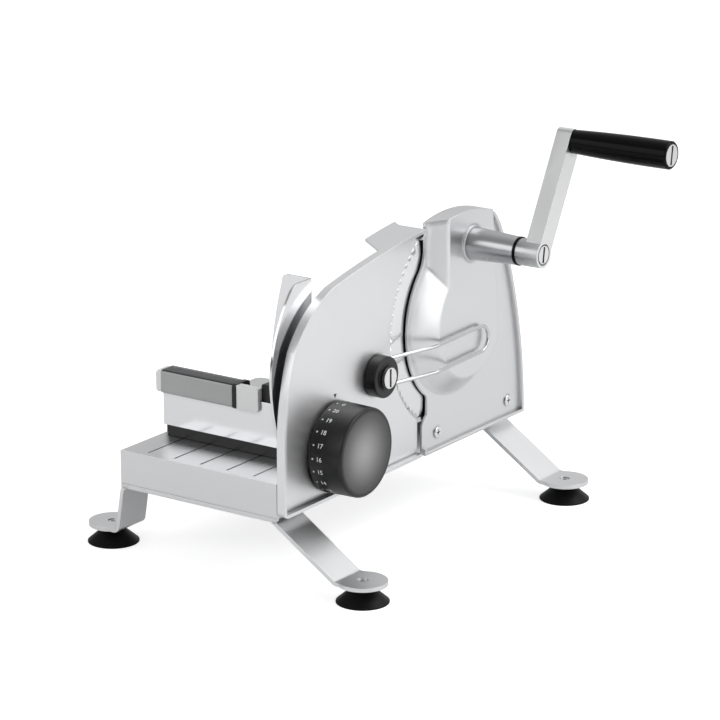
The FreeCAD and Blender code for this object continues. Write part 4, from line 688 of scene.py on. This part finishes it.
class Paintbox:
    """Materials, made once from their finishes."""

    def __init__(self) -> None:
        """Starts with the shared shader groups and no material."""
        self.effects = SurfaceEffects()
        self.made: dict[str, bpy.types.Material] = {}

    def get(self, finish: Finish) -> bpy.types.Material:
        """Gives the material of a finish.

        Args:
            finish: The finish.

        Returns:
            Its material.
        """
        if finish.name not in self.made:
            self.made[finish.name] = finish.material(self.effects)
        return self.made[finish.name]

    def dress(self, finish: Finish, *names: str) -> None:
        """Gives CAD nodes a finish.

        Args:
            finish: The finish.
            names: Names of the nodes.
        """
        for name in names:
            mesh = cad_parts[name].data
            mesh.materials.clear()
            mesh.materials.append(self.get(finish))
            log.info("dressed %s in %s", name, finish.name)

    def accent(self, finish: Finish, name: str, chosen: Callable[[Vector, Vector], bool]) -> None:
        """Gives some faces of a CAD node another finish.

        Args:
            finish: The finish.
            name: Name of the node.
            chosen: Says for the middle of a face, in drawing millimetres, and its normal
                whether it is one.
        """
        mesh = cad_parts[name].data
        mesh.materials.append(self.get(finish))
        for polygon in mesh.polygons:
            if chosen(polygon.center / MM - SHIFT, polygon.normal):
                polygon.material_index = len(mesh.materials) - 1


def to_scene(thing: bpy.types.Object) -> None:
    """Links an object to the scene."""
    bpy.context.scene.collection.objects.link(thing)


def evaluated_mesh(carrier: bpy.types.Object) -> bpy.types.Mesh:
    """Works out the mesh of an object.

    Args:
        carrier: Object with modifiers, or a text.

    Returns:
        The result as a plain mesh.
    """
    bpy.context.view_layer.update()
    graph = bpy.context.evaluated_depsgraph_get()
    return bpy.data.meshes.new_from_object(carrier.evaluated_get(graph))


def form_mesh(name: str, form: bmesh.types.BMesh) -> bpy.types.Mesh:
    """Makes a mesh of a form and frees the form.

    Args:
        name: Name of the mesh.
        form: The form.

    Returns:
        The mesh.
    """
    mesh = bpy.data.meshes.new(name)
    form.to_mesh(mesh)
    form.free()
    return mesh


def clean_mesh(mesh: bpy.types.Mesh) -> None:
    """Merges doubles, turns every face outwards and marks sharp edges.

    Args:
        mesh: Mesh of closed shells.
    """
    form = bmesh.new()
    form.from_mesh(mesh)
    bmesh.ops.remove_doubles(form, verts=form.verts, dist=WELD)
    bmesh.ops.recalc_face_normals(form, faces=form.faces)
    for face in form.faces:
        face.smooth = True
    for edge in form.edges:
        edge.smooth = len(edge.link_faces) == 2 and edge.calc_face_angle(0.0) < SHARP
    form.to_mesh(mesh)
    form.free()


def mesh_piece(name: str, mesh: bpy.types.Mesh, body: str) -> bpy.types.Object:
    """Cleans a mesh and puts it in the scene as a piece that rides on a body.

    Args:
        name: Name of the piece.
        mesh: Its mesh, with its place in it.
        body: Body that it moves with.

    Returns:
        The piece.
    """
    clean_mesh(mesh)
    piece = bpy.data.objects.new(name, mesh)
    mesh.name = name
    to_scene(piece)
    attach(piece, body)
    log.info("built %s: %d faces on %s", name, len(mesh.polygons), body)
    return piece


class GeometryTree:
    """Geometry node tree that ends in Realize Instances and Set Material."""

    def __init__(self, name: str, sizes: dict[str, float | int]) -> None:
        """Makes the tree and its named inputs.

        Args:
            name: Name of the tree.
            sizes: Value of each input, by name.
        """
        self.tree = bpy.data.node_groups.new(name, "GeometryNodeTree")
        face = self.tree.interface
        self.sizes = sizes
        self.sockets = {}
        for key, value in sizes.items():
            kind = "NodeSocketInt" if isinstance(value, int) else "NodeSocketFloat"
            self.sockets[key] = face.new_socket(key, in_out="INPUT", socket_type=kind)
        self.finish = face.new_socket("Finish", in_out="INPUT", socket_type="NodeSocketMaterial")
        face.new_socket("Geometry", in_out="OUTPUT", socket_type="NodeSocketGeometry")
        self.wiring = Wiring(self.tree)
        self.given = self.wiring.add("NodeGroupInput")

    def size(self, key: str) -> Socket:
        """Gives the socket of a named input."""
        return self.given.outputs[key]

    def close(self, shape: Socket) -> None:
        """Ends the tree.

        Args:
            shape: Geometry to put out.
        """
        solid = self.wiring.add("GeometryNodeRealizeInstances", {0: shape})
        painted = self.wiring.add(
            "GeometryNodeSetMaterial", {0: solid.outputs[0], "Material": self.size("Finish")}
        )
        self.wiring.add("NodeGroupOutput", {0: painted.outputs[0]})

    def mesh(self, material: bpy.types.Material) -> bpy.types.Mesh:
        """Evaluates the tree once.

        Args:
            material: Material for its Finish input.

        Returns:
            The result as a plain mesh.
        """
        carrier = bpy.data.objects.new(self.tree.name, bpy.data.meshes.new(self.tree.name))
        to_scene(carrier)
        modifier = carrier.modifiers.new("shape", "NODES")
        modifier.node_group = self.tree
        for key, socket in self.sockets.items():
            modifier[socket.identifier] = self.sizes[key]
        modifier[self.finish.identifier] = material
        mesh = evaluated_mesh(carrier)
        carrier.modifiers.remove(modifier)
        bpy.data.objects.remove(carrier)
        return mesh


def lathe_profile(tree: GeometryTree, points: list[tuple[float, float]]) -> Socket:
    """Adds a closed profile curve to a tree.

    Args:
        tree: The tree.
        points: Corners of the profile in its X and Y, in metres.

    Returns:
        The curve.
    """
    wiring = tree.wiring
    line = wiring.add("GeometryNodeMeshLine", {"Count": len(points)})
    index = wiring.add("GeometryNodeInputIndex").outputs[0]
    place = None
    for number, (across, along) in enumerate(points):
        here = wiring.add("ShaderNodeCombineXYZ", {0: across, 1: along, 2: 0.0}).outputs[0]
        if place is None:
            place = here
            continue
        match = wiring.add(
            "FunctionNodeCompare", {2: index, 3: number}, data_type="INT", operation="EQUAL"
        )
        place = wiring.add(
            "GeometryNodeSwitch", {0: match.outputs[0], 1: place, 2: here}, input_type="VECTOR"
        ).outputs[0]
    moved = wiring.add("GeometryNodeSetPosition", {0: line.outputs[0], "Position": place})
    curve = wiring.add("GeometryNodeMeshToCurve", {0: moved.outputs[0]})
    closed = {0: curve.outputs[0], "Cyclic": True}
    return wiring.add("GeometryNodeSetSplineCyclic", closed).outputs[0]


@dataclass
class Blade:
    """Round blade with a scalloped edge, ground as one solid of revolution."""

    radius: float = 85.0
    thick: float = 1.4
    edge: float = 0.35
    bevel: float = 10.5
    bore: float = 6.0
    flank_steps: int = 9
    edge_ring: float = 3.0
    scallops: int = 80
    scallop_depth: float = 2.0
    scallop_shape: float = 0.7
    flute_depth: float = 0.05
    edge_fade: float = 5.0
    edge_kept: float = 0.12
    lathe_radius: float = 40.0
    turns: int = 960

    def profile(self) -> list[tuple[float, float]]:
        """Works out the section of the blade.

        Returns:
            Corners as distance from the axis and height over the food side, in metres.
        """
        half_way = self.radius * 0.5
        flank = [
            (
                self.radius - self.bevel * step / self.flank_steps,
                self.edge + (self.thick - self.edge) * step / self.flank_steps,
            )
            for step in range(self.flank_steps + 1)
        ]
        ring = [
            (self.bore, 0.0),
            (half_way, 0.0),
            (self.radius - self.bevel, 0.0),
            (self.radius - self.edge_ring, 0.0),
            (self.radius, 0.0),
            *flank,
            (half_way, self.thick),
            (self.bore, self.thick),
        ]
        return [(r * MM, x * MM) for r, x in ring]

    def scalloped(self, tree: GeometryTree, solid: Socket) -> Socket:
        """Pulls the edge in between its points and grinds a flute into the flank behind.

        Args:
            tree: The tree.
            solid: The plain blade, lying round Z.

        Returns:
            The shaped blade.
        """
        wiring = tree.wiring
        place = wiring.add("GeometryNodeInputPosition").outputs[0]
        parts = wiring.add("ShaderNodeSeparateXYZ", {0: place})
        x, y, z = parts.outputs[0], parts.outputs[1], parts.outputs[2]
        squares = [wiring.math("POWER", part, 2.0) for part in (x, y)]
        radius = wiring.math("SQRT", wiring.math("ADD", *squares))
        angle = wiring.math("ARCTAN2", y, x)
        wave = wiring.math("COSINE", wiring.math("MULTIPLY", angle, tree.size("Scallops")))
        half_wave = wiring.math("MULTIPLY", wiring.math("ADD", wave, 1.0), 0.5)
        hollow = wiring.math("POWER", half_wave, tree.size("Scallop Shape"))
        inside = wiring.math("SUBTRACT", tree.size("Radius"), radius)
        near_edge = wiring.fade(inside, (0.0, tree.size("Edge Fade")), (1.0, 0.0), "LINEAR")
        scallop = wiring.math("MULTIPLY", hollow, tree.size("Scallop Depth"))
        pull = wiring.math("MULTIPLY", scallop, wiring.math("POWER", near_edge, 2.0))
        factor = wiring.math("DIVIDE", wiring.math("SUBTRACT", radius, pull), radius)
        flute = wiring.math("MULTIPLY", hollow, near_edge)
        dent = wiring.math("MULTIPLY", flute, tree.size("Flute Depth"))
        lowest = wiring.math("MINIMUM", z, tree.size("Edge Kept"))
        height = wiring.math("MAXIMUM", wiring.math("SUBTRACT", z, dent), lowest)
        new_place = wiring.add(
            "ShaderNodeCombineXYZ",
            {
                0: wiring.math("MULTIPLY", x, factor),
                1: wiring.math("MULTIPLY", y, factor),
                2: height,
            },
        ).outputs[0]
        moved = {0: solid, "Position": new_place}
        return wiring.add("GeometryNodeSetPosition", moved).outputs[0]

    def build(self, paint: Paintbox) -> None:
        """Builds the blade and replaces the plain one.

        Args:
            paint: The materials.
        """
        sizes = {
            "Turns": self.turns,
            "Scallops": self.scallops,
            "Scallop Depth": self.scallop_depth * MM,
            "Scallop Shape": self.scallop_shape,
            "Flute Depth": self.flute_depth * MM,
            "Radius": self.radius * MM,
            "Edge Fade": self.edge_fade * MM,
            "Edge Kept": self.edge_kept * MM,
            "Lathe Radius": self.lathe_radius * MM,
        }
        tree = GeometryTree("ground_blade", sizes)
        middle = sizes["Lathe Radius"]
        profile = lathe_profile(tree, [(r - middle, -x) for r, x in self.profile()])
        ring = tree.wiring.add(
            "GeometryNodeCurvePrimitiveCircle",
            {"Resolution": tree.size("Turns"), "Radius": tree.size("Lathe Radius")},
            mode="RADIUS",
        )
        solid = tree.wiring.add("GeometryNodeCurveToMesh", {0: ring.outputs[0], 1: profile})
        tree.close(self.scalloped(tree, solid.outputs[0]))
        mesh = tree.mesh(paint.get(BLADE))
        mesh.transform(Matrix.Translation(at(0, 0, AXIS_Z)) @ ROUND_X)
        piece = mesh_piece("ground_blade", mesh, "blade")
        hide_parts("slicing_blade")


@dataclass
class Dial:
    """Thickness dial: dots and plain numbers printed round it."""

    y: float = -162.6
    z: float = 94.2
    back: float = 5.0
    front: float = 32.7
    back_radius: float = 34.5
    front_radius: float = 33.9
    dish: float = 2.0
    dish_radius: float = 31.0
    dish_margin: float = 0.1
    steps: int = 21
    first_angle: float = 94.0
    dot_x: float = 8.0
    dot_radius: float = 0.75
    dot_corners: int = 20
    number_x: float = 13.6
    number_size: float = 5.0
    number_bold: float = 0.06
    number_detail: int = 3
    print_thick: float = 0.06

    def surface(self, x: float) -> float:
        """Gives the radius of the dial at a place along its axis."""
        share = (x - self.back) / (self.front - self.back)
        return self.back_radius + (self.front_radius - self.back_radius) * share

    def angle(self, number: int) -> float:
        """Gives the angle of a number from +Y towards +Z, in radians."""
        return math.radians(self.first_angle - number * 360.0 / self.steps)

    def dots(self, paint: Paintbox) -> None:
        """Prints the ring of dots.

        Args:
            paint: The materials.
        """
        sizes = {
            "Steps": self.steps,
            "Ring Radius": self.surface(self.dot_x) * MM,
            "Dot Radius": self.dot_radius * MM,
            "Dot Corners": self.dot_corners,
            "Thick": 2 * self.print_thick * MM,
        }
        tree = GeometryTree("dial_dots", sizes)
        wiring = tree.wiring
        ring = wiring.add(
            "GeometryNodeMeshCircle",
            {"Vertices": tree.size("Steps"), "Radius": tree.size("Ring Radius")},
        )
        dot = wiring.add(
            "GeometryNodeMeshCylinder",
            {
                "Vertices": tree.size("Dot Corners"),
                "Radius": tree.size("Dot Radius"),
                "Depth": tree.size("Thick"),
            },
        )
        place = wiring.add("GeometryNodeInputPosition").outputs[0]
        facing = wiring.add("FunctionNodeAlignRotationToVector", {"Vector": place}, axis="Z")
        dots = wiring.add(
            "GeometryNodeInstanceOnPoints",
            {
                "Points": ring.outputs[0],
                "Instance": dot.outputs[0],
                "Rotation": facing.outputs[0],
            },
        )
        tree.close(dots.outputs[0])
        mesh = tree.mesh(paint.get(PRINT))
        spin = Matrix.Rotation(math.radians(self.first_angle), 4, "X")
        mesh.transform(Matrix.Translation(at(self.dot_x, self.y, self.z)) @ spin @ ROUND_X)
        mesh_piece("dial_dots", mesh, "dial")

    def numbers(self, paint: Paintbox) -> None:
        """Prints the numbers, wrapped round the dial.

        Args:
            paint: The materials.
        """
        form = bmesh.new()
        for number in range(self.steps):
            curve = bpy.data.curves.new(f"number_{number}", "FONT")
            curve.body = str(number)
            curve.size = self.number_size * MM
            curve.align_x = "CENTER"
            curve.align_y = "CENTER"
            curve.extrude = self.print_thick * MM
            curve.offset = self.number_bold * MM
            curve.resolution_u = self.number_detail
            carrier = bpy.data.objects.new(curve.name, curve)
            to_scene(carrier)
            flat = evaluated_mesh(carrier)
            self.wrap(flat, number)
            form.from_mesh(flat)
            bpy.data.objects.remove(carrier)
            bpy.data.curves.remove(curve)
            bpy.data.meshes.remove(flat)
        mesh = form_mesh("dial_numbers", form)
        mesh.materials.append(paint.get(PRINT))
        mesh_piece("dial_numbers", mesh, "dial")

    def wrap(self, mesh: bpy.types.Mesh, number: int) -> None:
        """Bends a flat number onto the dial.

        Args:
            mesh: Number drawn in XY, its thickness along Z.
            number: Which number it is.
        """
        for vertex in mesh.vertices:
            x = self.number_x + vertex.co.x / MM
            radius = self.surface(x)
            angle = self.angle(number) - (vertex.co.y / MM) / radius
            radius += vertex.co.z / MM
            y, z = self.y + radius * math.cos(angle), self.z + radius * math.sin(angle)
            vertex.co = at(x, y, z)

    def on_face(self, place: Vector, normal: Vector) -> bool:
        """Says whether a face belongs to the dished front."""
        in_front = place.x > self.front - self.dish - self.dish_margin
        return normal.x > FACING and in_front and off_axis(place, self.y, self.z) < self.dish_radius

    def build(self, paint: Paintbox) -> None:
        """Dresses the dial and prints its scale.

        Args:
            paint: The materials.
        """
        paint.dress(DIAL_BLACK, "dial_knob")
        # The dished face gets the finish with the painted sheen.
        paint.accent(DIAL_FACE_SHEEN, "dial_knob", self.on_face)
        paint.dress(CAM_WHITE, "dial_cam")
        self.dots(paint)
        self.numbers(paint)


@dataclass
class StopPlate:
    """Stop plate with its springs and the mark that the dial is read against."""

    face: float = 2.4
    mark_y: float = -160.0
    mark_top: float = 133.7
    mark_tip: float = 130.4
    mark_half: float = 1.9
    mark_thick: float = 0.06
    spring_node: str = "return_springs"
    travel: float = 20.0

    def mark(self, paint: Paintbox) -> None:
        """Prints the mark above the dial.

        Args:
            paint: The materials.
        """
        corners = [
            (self.mark_y - self.mark_half, self.mark_top),
            (self.mark_y, self.mark_tip),
            (self.mark_y + self.mark_half, self.mark_top),
        ]
        form = bmesh.new()
        under = [form.verts.new(at(self.face - self.mark_thick, y, z)) for y, z in corners]
        over = [form.verts.new(at(self.face + self.mark_thick, y, z)) for y, z in corners]
        form.faces.new(under[::-1])
        form.faces.new(over)
        for first in range(3):
            last = (first + 1) % 3
            form.faces.new((under[first], under[last], over[last], over[first]))
        mesh = form_mesh("dial_mark", form)
        mesh.materials.append(paint.get(DIAL_BLACK))
        mesh_piece("dial_mark", mesh, "stop")

    def springs(self, paint: Paintbox) -> None:
        """Gives the springs a mesh of their own, which rides with the plate.

        Args:
            paint: The materials.
        """
        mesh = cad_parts[self.spring_node].data.copy()
        mesh.materials.clear()
        mesh.materials.append(paint.get(PLAIN_STEEL))
        piece = mesh_piece("pressed_springs", mesh, "stop")
        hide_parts(self.spring_node)
        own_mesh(piece)

    def build(self, paint: Paintbox) -> None:
        """Dresses the plate and what it carries.

        Args:
            paint: The materials.
        """
        paint.dress(SATIN_PLATE, "stop_plate")
        paint.dress(PLAIN_STEEL, "guide_pins", "spring_collars")
        self.springs(paint)
        paint.dress(PLAIN_STEEL, "dial_spindle", "dial_screw", "dial_clip")
        self.mark(paint)


@dataclass
class SuctionFeet:
    """Four rubber cups under the tongues of the leg bars."""

    names: tuple[str, ...] = (
        "front_left_suction_cup",
        "front_right_suction_cup",
        "rear_left_suction_cup",
        "rear_right_suction_cup",
    )

    def build(self, paint: Paintbox) -> None:
        """Dresses the cups."""
        paint.dress(RUBBER, *self.names)


@dataclass
class Base:
    """Platform, leg bars, gear cover and the fixed bearings."""

    feet: SuctionFeet = field(default_factory=SuctionFeet)
    slope_start: float = 4.75
    slope_end: float = 18.95
    slope_lean: tuple[float, float] = (0.2, 0.95)
    boss_start: float = 20.6
    boss_radius: float = 14.6

    def on_slope(self, place: Vector, normal: Vector) -> bool:
        """Says whether a face belongs to the slopes round the raised housing."""
        steep, flat = self.slope_lean
        return self.slope_start < place.x < self.slope_end and steep < normal.x < flat

    def on_boss(self, place: Vector, normal: Vector) -> bool:
        """Says whether a face belongs to the turned outside of the crank boss."""
        inside = off_axis(place, 0.0, CRANK_Z) < self.boss_radius
        return inside and place.x > self.boss_start and abs(normal.x) < FACING

    def build(self, paint: Paintbox) -> None:
        """Dresses the base.

        Args:
            paint: The materials.
        """
        paint.dress(SATIN, "gear_cover")
        paint.accent(SATIN_SOFT, "gear_cover", self.on_slope)
        paint.accent(BOSS, "gear_cover", self.on_boss)
        paint.dress(SATIN_BASE, "base_platform")
        paint.dress(LEG, "front_leg_bar", "rear_leg_bar")
        paint.dress(TURNED_STEEL, "bar_screws", "foot_screws", "cover_screws")
        paint.dress(PLAIN_STEEL, "bearing_plate", "bearing_plate_screws", "guide_bracket")
        paint.dress(PLAIN_STEEL, "idler_pin", "idler_washer", "cam_follower")
        paint.dress(BRASS, "blade_bush", "crank_end_bush", "inner_crank_bush", "outer_crank_bush")
        paint.dress(BRASS, "guide_bushes")
        self.feet.build(paint)


@dataclass
class Crank:
    """Crank with its shaft, arm, gear and grip."""

    hub_radius: float = 10.8
    arm_back: float = 72.0
    arm_margin: float = 3.0

    def on_edge(self, place: Vector, normal: Vector) -> bool:
        """Says whether a face belongs to the milled edges of the arm that face along Y, which get a
        darker colour as painted shade.
        """
        return abs(normal.y) > FACING and place.x > self.arm_back - self.arm_margin

    def on_hub(self, place: Vector, normal: Vector) -> bool:
        """Says whether a face belongs to the turned outside of the arm's hub."""
        inside = off_axis(place, 0.0, CRANK_Z) < self.hub_radius
        return inside and abs(normal.x) < FACING and place.x < self.arm_back

    def build(self, paint: Paintbox) -> None:
        """Dresses the crank and the grip.

        Args:
            paint: The materials.
        """
        paint.dress(ARM, "crank_arm")
        # The edges facing along Y are darker: painted shade.
        paint.accent(ARM_EDGE_SHADE, "crank_arm", self.on_edge)
        paint.accent(BOSS, "crank_arm", self.on_hub)
        paint.dress(TURNED_STEEL, "crank_screw", "grip_screw")
        paint.dress(GRIP_BLACK, "grip_handle", "crank_washer")
        paint.dress(PLAIN_STEEL, "crank_shaft", "crank_gear")


@dataclass
class BladeUnit:
    """Blade, its gear and the idler."""

    blade: Blade = field(default_factory=Blade)

    def build(self, paint: Paintbox) -> None:
        """Dresses the gears and grinds the blade.

        Args:
            paint: The materials.
        """
        paint.dress(PLAIN_STEEL, "idler_gear", "blade_gear")
        paint.dress(TURNED_STEEL, "blade_lock_screw")
        self.blade.build(paint)


@dataclass
class Deflector:
    """Wire loop that turns the slices away, on its black hub."""

    y: float = -107.0
    z: float = 135.0
    head_radius: float = 8.1

    def on_flange(self, place: Vector, normal: Vector) -> bool:
        """Says whether a face belongs to the blackened flange round the screw head."""
        return off_axis(place, self.y, self.z) > self.head_radius

    def build(self, paint: Paintbox) -> None:
        """Dresses the deflector.

        Args:
            paint: The materials.
        """
        paint.dress(DIAL_BLACK, "deflector_hub")
        paint.dress(WIRE, "deflector_wire")
        paint.dress(TURNED_STEEL, "deflector_screw")
        paint.accent(DIAL_BLACK, "deflector_screw", self.on_flange)


@dataclass
class Carriage:
    """Carriage with its wall, floor, glides and hook."""

    def build(self, paint: Paintbox) -> None:
        """Dresses the carriage."""
        paint.dress(POLISHED, "carriage_wall", "carriage_floor")
        # The glides are black plastic; the black of the front glide under the wall also stands in
        # for the shade in the gap there.
        paint.dress(DIAL_BLACK, "front_glide", "rear_glide", "carriage_hook")


@dataclass
class FoodHolder:
    """Holder that slides along the wall with the remainder plate."""

    top_lean: float = 0.6

    def on_top(self, place: Vector, normal: Vector) -> bool:
        """Says whether a face of the sleeve looks up."""
        return normal.z > self.top_lean

    def build(self, paint: Paintbox) -> None:
        """Dresses the holder.

        Args:
            paint: The materials.
        """
        paint.dress(SMOKED, "holder_sleeve")
        # Upward faces of the sleeve get the darker copy as painted shade.
        paint.accent(SMOKED_TOP_SHADE, "holder_sleeve", self.on_top)
        paint.dress(CORE_GREY, "holder_core")
        paint.dress(CAP_LIGHT, "holder_end_cap", "holder_block")
        paint.dress(DIAL_BLACK, "holder_ring", "remainder_plate")
        paint.dress(PLAIN_STEEL, "holder_rod")
        paint.dress(TURNED_STEEL, "plate_spikes")


@dataclass(frozen=True)
class Lamp:
    """One soft lamp: where it hangs and its size, in metres, and its watts."""

    name: str
    place: Triple
    size: tuple[float, float]
    power: float

    def hang(self, aim: Triple) -> None:
        """Hangs the lamp.

        Args:
            aim: Point that it looks at.
        """
        data = bpy.data.lights.new(self.name, "AREA")
        data.shape = "RECTANGLE"
        data.size, data.size_y = self.size
        data.energy = self.power
        lamp = bpy.data.objects.new(self.name, data)
        lamp.location = self.place
        way = Vector(aim) - Vector(self.place)
        lamp.rotation_euler = way.to_track_quat("-Z", "Y").to_euler()
        to_scene(lamp)


@dataclass
class Studio:
    """White table, soft light and the camera of the photograph."""

    target: Triple = (0.00835, -0.05299, 0.15122)
    turn: float = 55.313
    rise: float = 16.363
    distance: float = 2.40707
    lens: float = 161.2
    sensor: float = 36.0
    shift: tuple[float, float] = (-0.00024, -0.003)
    table_half: float = 6.0
    table_colour: tuple[float, float, float, float] = (0.82, 0.82, 0.82, 1)
    white: tuple[float, float, float, float] = (1, 1, 1, 1)
    floor_seen: float = 0.62
    floor_mirrored: float = 0.08
    dark_side: float = 0.12
    bright_side: float = 0.66
    bright_span: tuple[float, float] = (-0.5, 0.9)
    left_loss: float = 0.35
    left_span: tuple[float, float] = (-0.9, 0.0)
    dome: float = 0.30
    dome_span: tuple[float, float] = (0.2, 0.85)
    lamp_aim: Triple = (0.0, 0.0, 0.12)
    lamps: tuple[Lamp, ...] = (
        Lamp("rear_softbox", (1.1, 0.6, 1.4), (1.4, 1.2), 13.0),
        Lamp("side_softbox", (1.6, 0.0, 0.45), (1.3, 1.0), 6.0),
        Lamp("front_softbox", (-0.6, -1.6, 0.9), (2.0, 1.2), 12.0),
    )

    def camera(self) -> None:
        """Places the camera."""
        turn, rise = math.radians(self.turn), math.radians(self.rise)
        level = math.cos(rise)
        away = Vector((level * math.cos(turn), -level * math.sin(turn), math.sin(rise)))
        data = bpy.data.cameras.new("camera")
        data.lens = self.lens
        data.sensor_width = self.sensor
        data.shift_x, data.shift_y = self.shift
        camera = bpy.data.objects.new("camera", data)
        camera.location = Vector(self.target) + away * self.distance
        camera.rotation_euler = (-away).to_track_quat("-Z", "Y").to_euler()
        to_scene(camera)
        bpy.context.scene.camera = camera

    def floor(self) -> None:
        """Lays the white table."""
        form = bmesh.new()
        bmesh.ops.create_grid(form, x_segments=1, y_segments=1, size=self.table_half)
        mesh = form_mesh("table", form)
        floor = bpy.data.objects.new("table", mesh)
        to_scene(floor)
        white = bpy.data.materials.new("table_white")
        white.use_nodes = True
        wiring = Wiring(white.node_tree)
        path = wiring.add("ShaderNodeLightPath")
        seen = wiring.math("MULTIPLY", path.outputs["Is Camera Ray"], self.floor_seen)
        mirrored = wiring.math("MULTIPLY", path.outputs["Is Glossy Ray"], self.floor_mirrored)
        strength = wiring.math("ADD", seen, mirrored)
        glow = wiring.add("ShaderNodeEmission", {"Color": self.white, "Strength": strength})
        matt = wiring.add("ShaderNodeBsdfDiffuse", {"Color": self.table_colour})
        both = wiring.add("ShaderNodeAddShader", {0: matt.outputs[0], 1: glow.outputs[0]})
        wiring.add("ShaderNodeOutputMaterial", {"Surface": both.outputs[0]})
        mesh.materials.append(white)

    def world(self) -> None:
        """Surrounds the scene with light: bright behind and above, dark in front and left."""
        world = bpy.data.worlds.new("studio")
        world.use_nodes = True
        bpy.context.scene.world = world
        wiring = Wiring(world.node_tree)
        seen = wiring.add("ShaderNodeLightPath").outputs["Is Camera Ray"]
        way = wiring.add("ShaderNodeTexCoord").outputs["Generated"]
        parts = wiring.add("ShaderNodeSeparateXYZ", {0: way}).outputs
        brightest = self.dark_side + self.bright_side
        behind = wiring.fade(parts["Y"], self.bright_span, (self.dark_side, brightest))
        left = wiring.fade(parts["X"], self.left_span, (1.0 - self.left_loss, 1.0))
        above = wiring.fade(parts["Z"], self.dome_span, (0.0, self.dome))
        level = wiring.math("ADD", wiring.math("MULTIPLY", behind, left), above)
        strength = wiring.math("MAXIMUM", level, seen)
        back = wiring.add("ShaderNodeBackground", {"Color": self.white, "Strength": strength})
        wiring.add("ShaderNodeOutputWorld", {"Surface": back.outputs[0]})

    def build(self) -> None:
        """Sets up the studio."""
        bpy.context.scene.view_settings.view_transform = "Standard"
        self.camera()
        self.floor()
        self.world()
        for lamp in self.lamps:
            lamp.hang(self.lamp_aim)
        log.info("studio ready")


def main() -> None:
    """Builds every sub-assembly and the studio."""
    paint = Paintbox()
    units = [Base(), StopPlate(), Dial(), Deflector(), Crank(), BladeUnit(), Carriage()]
    for unit in [*units, FoodHolder()]:
        log.info("building %s", type(unit).__name__)
        unit.build(paint)
    Studio().build()


if __name__ == "__main__":
    main()
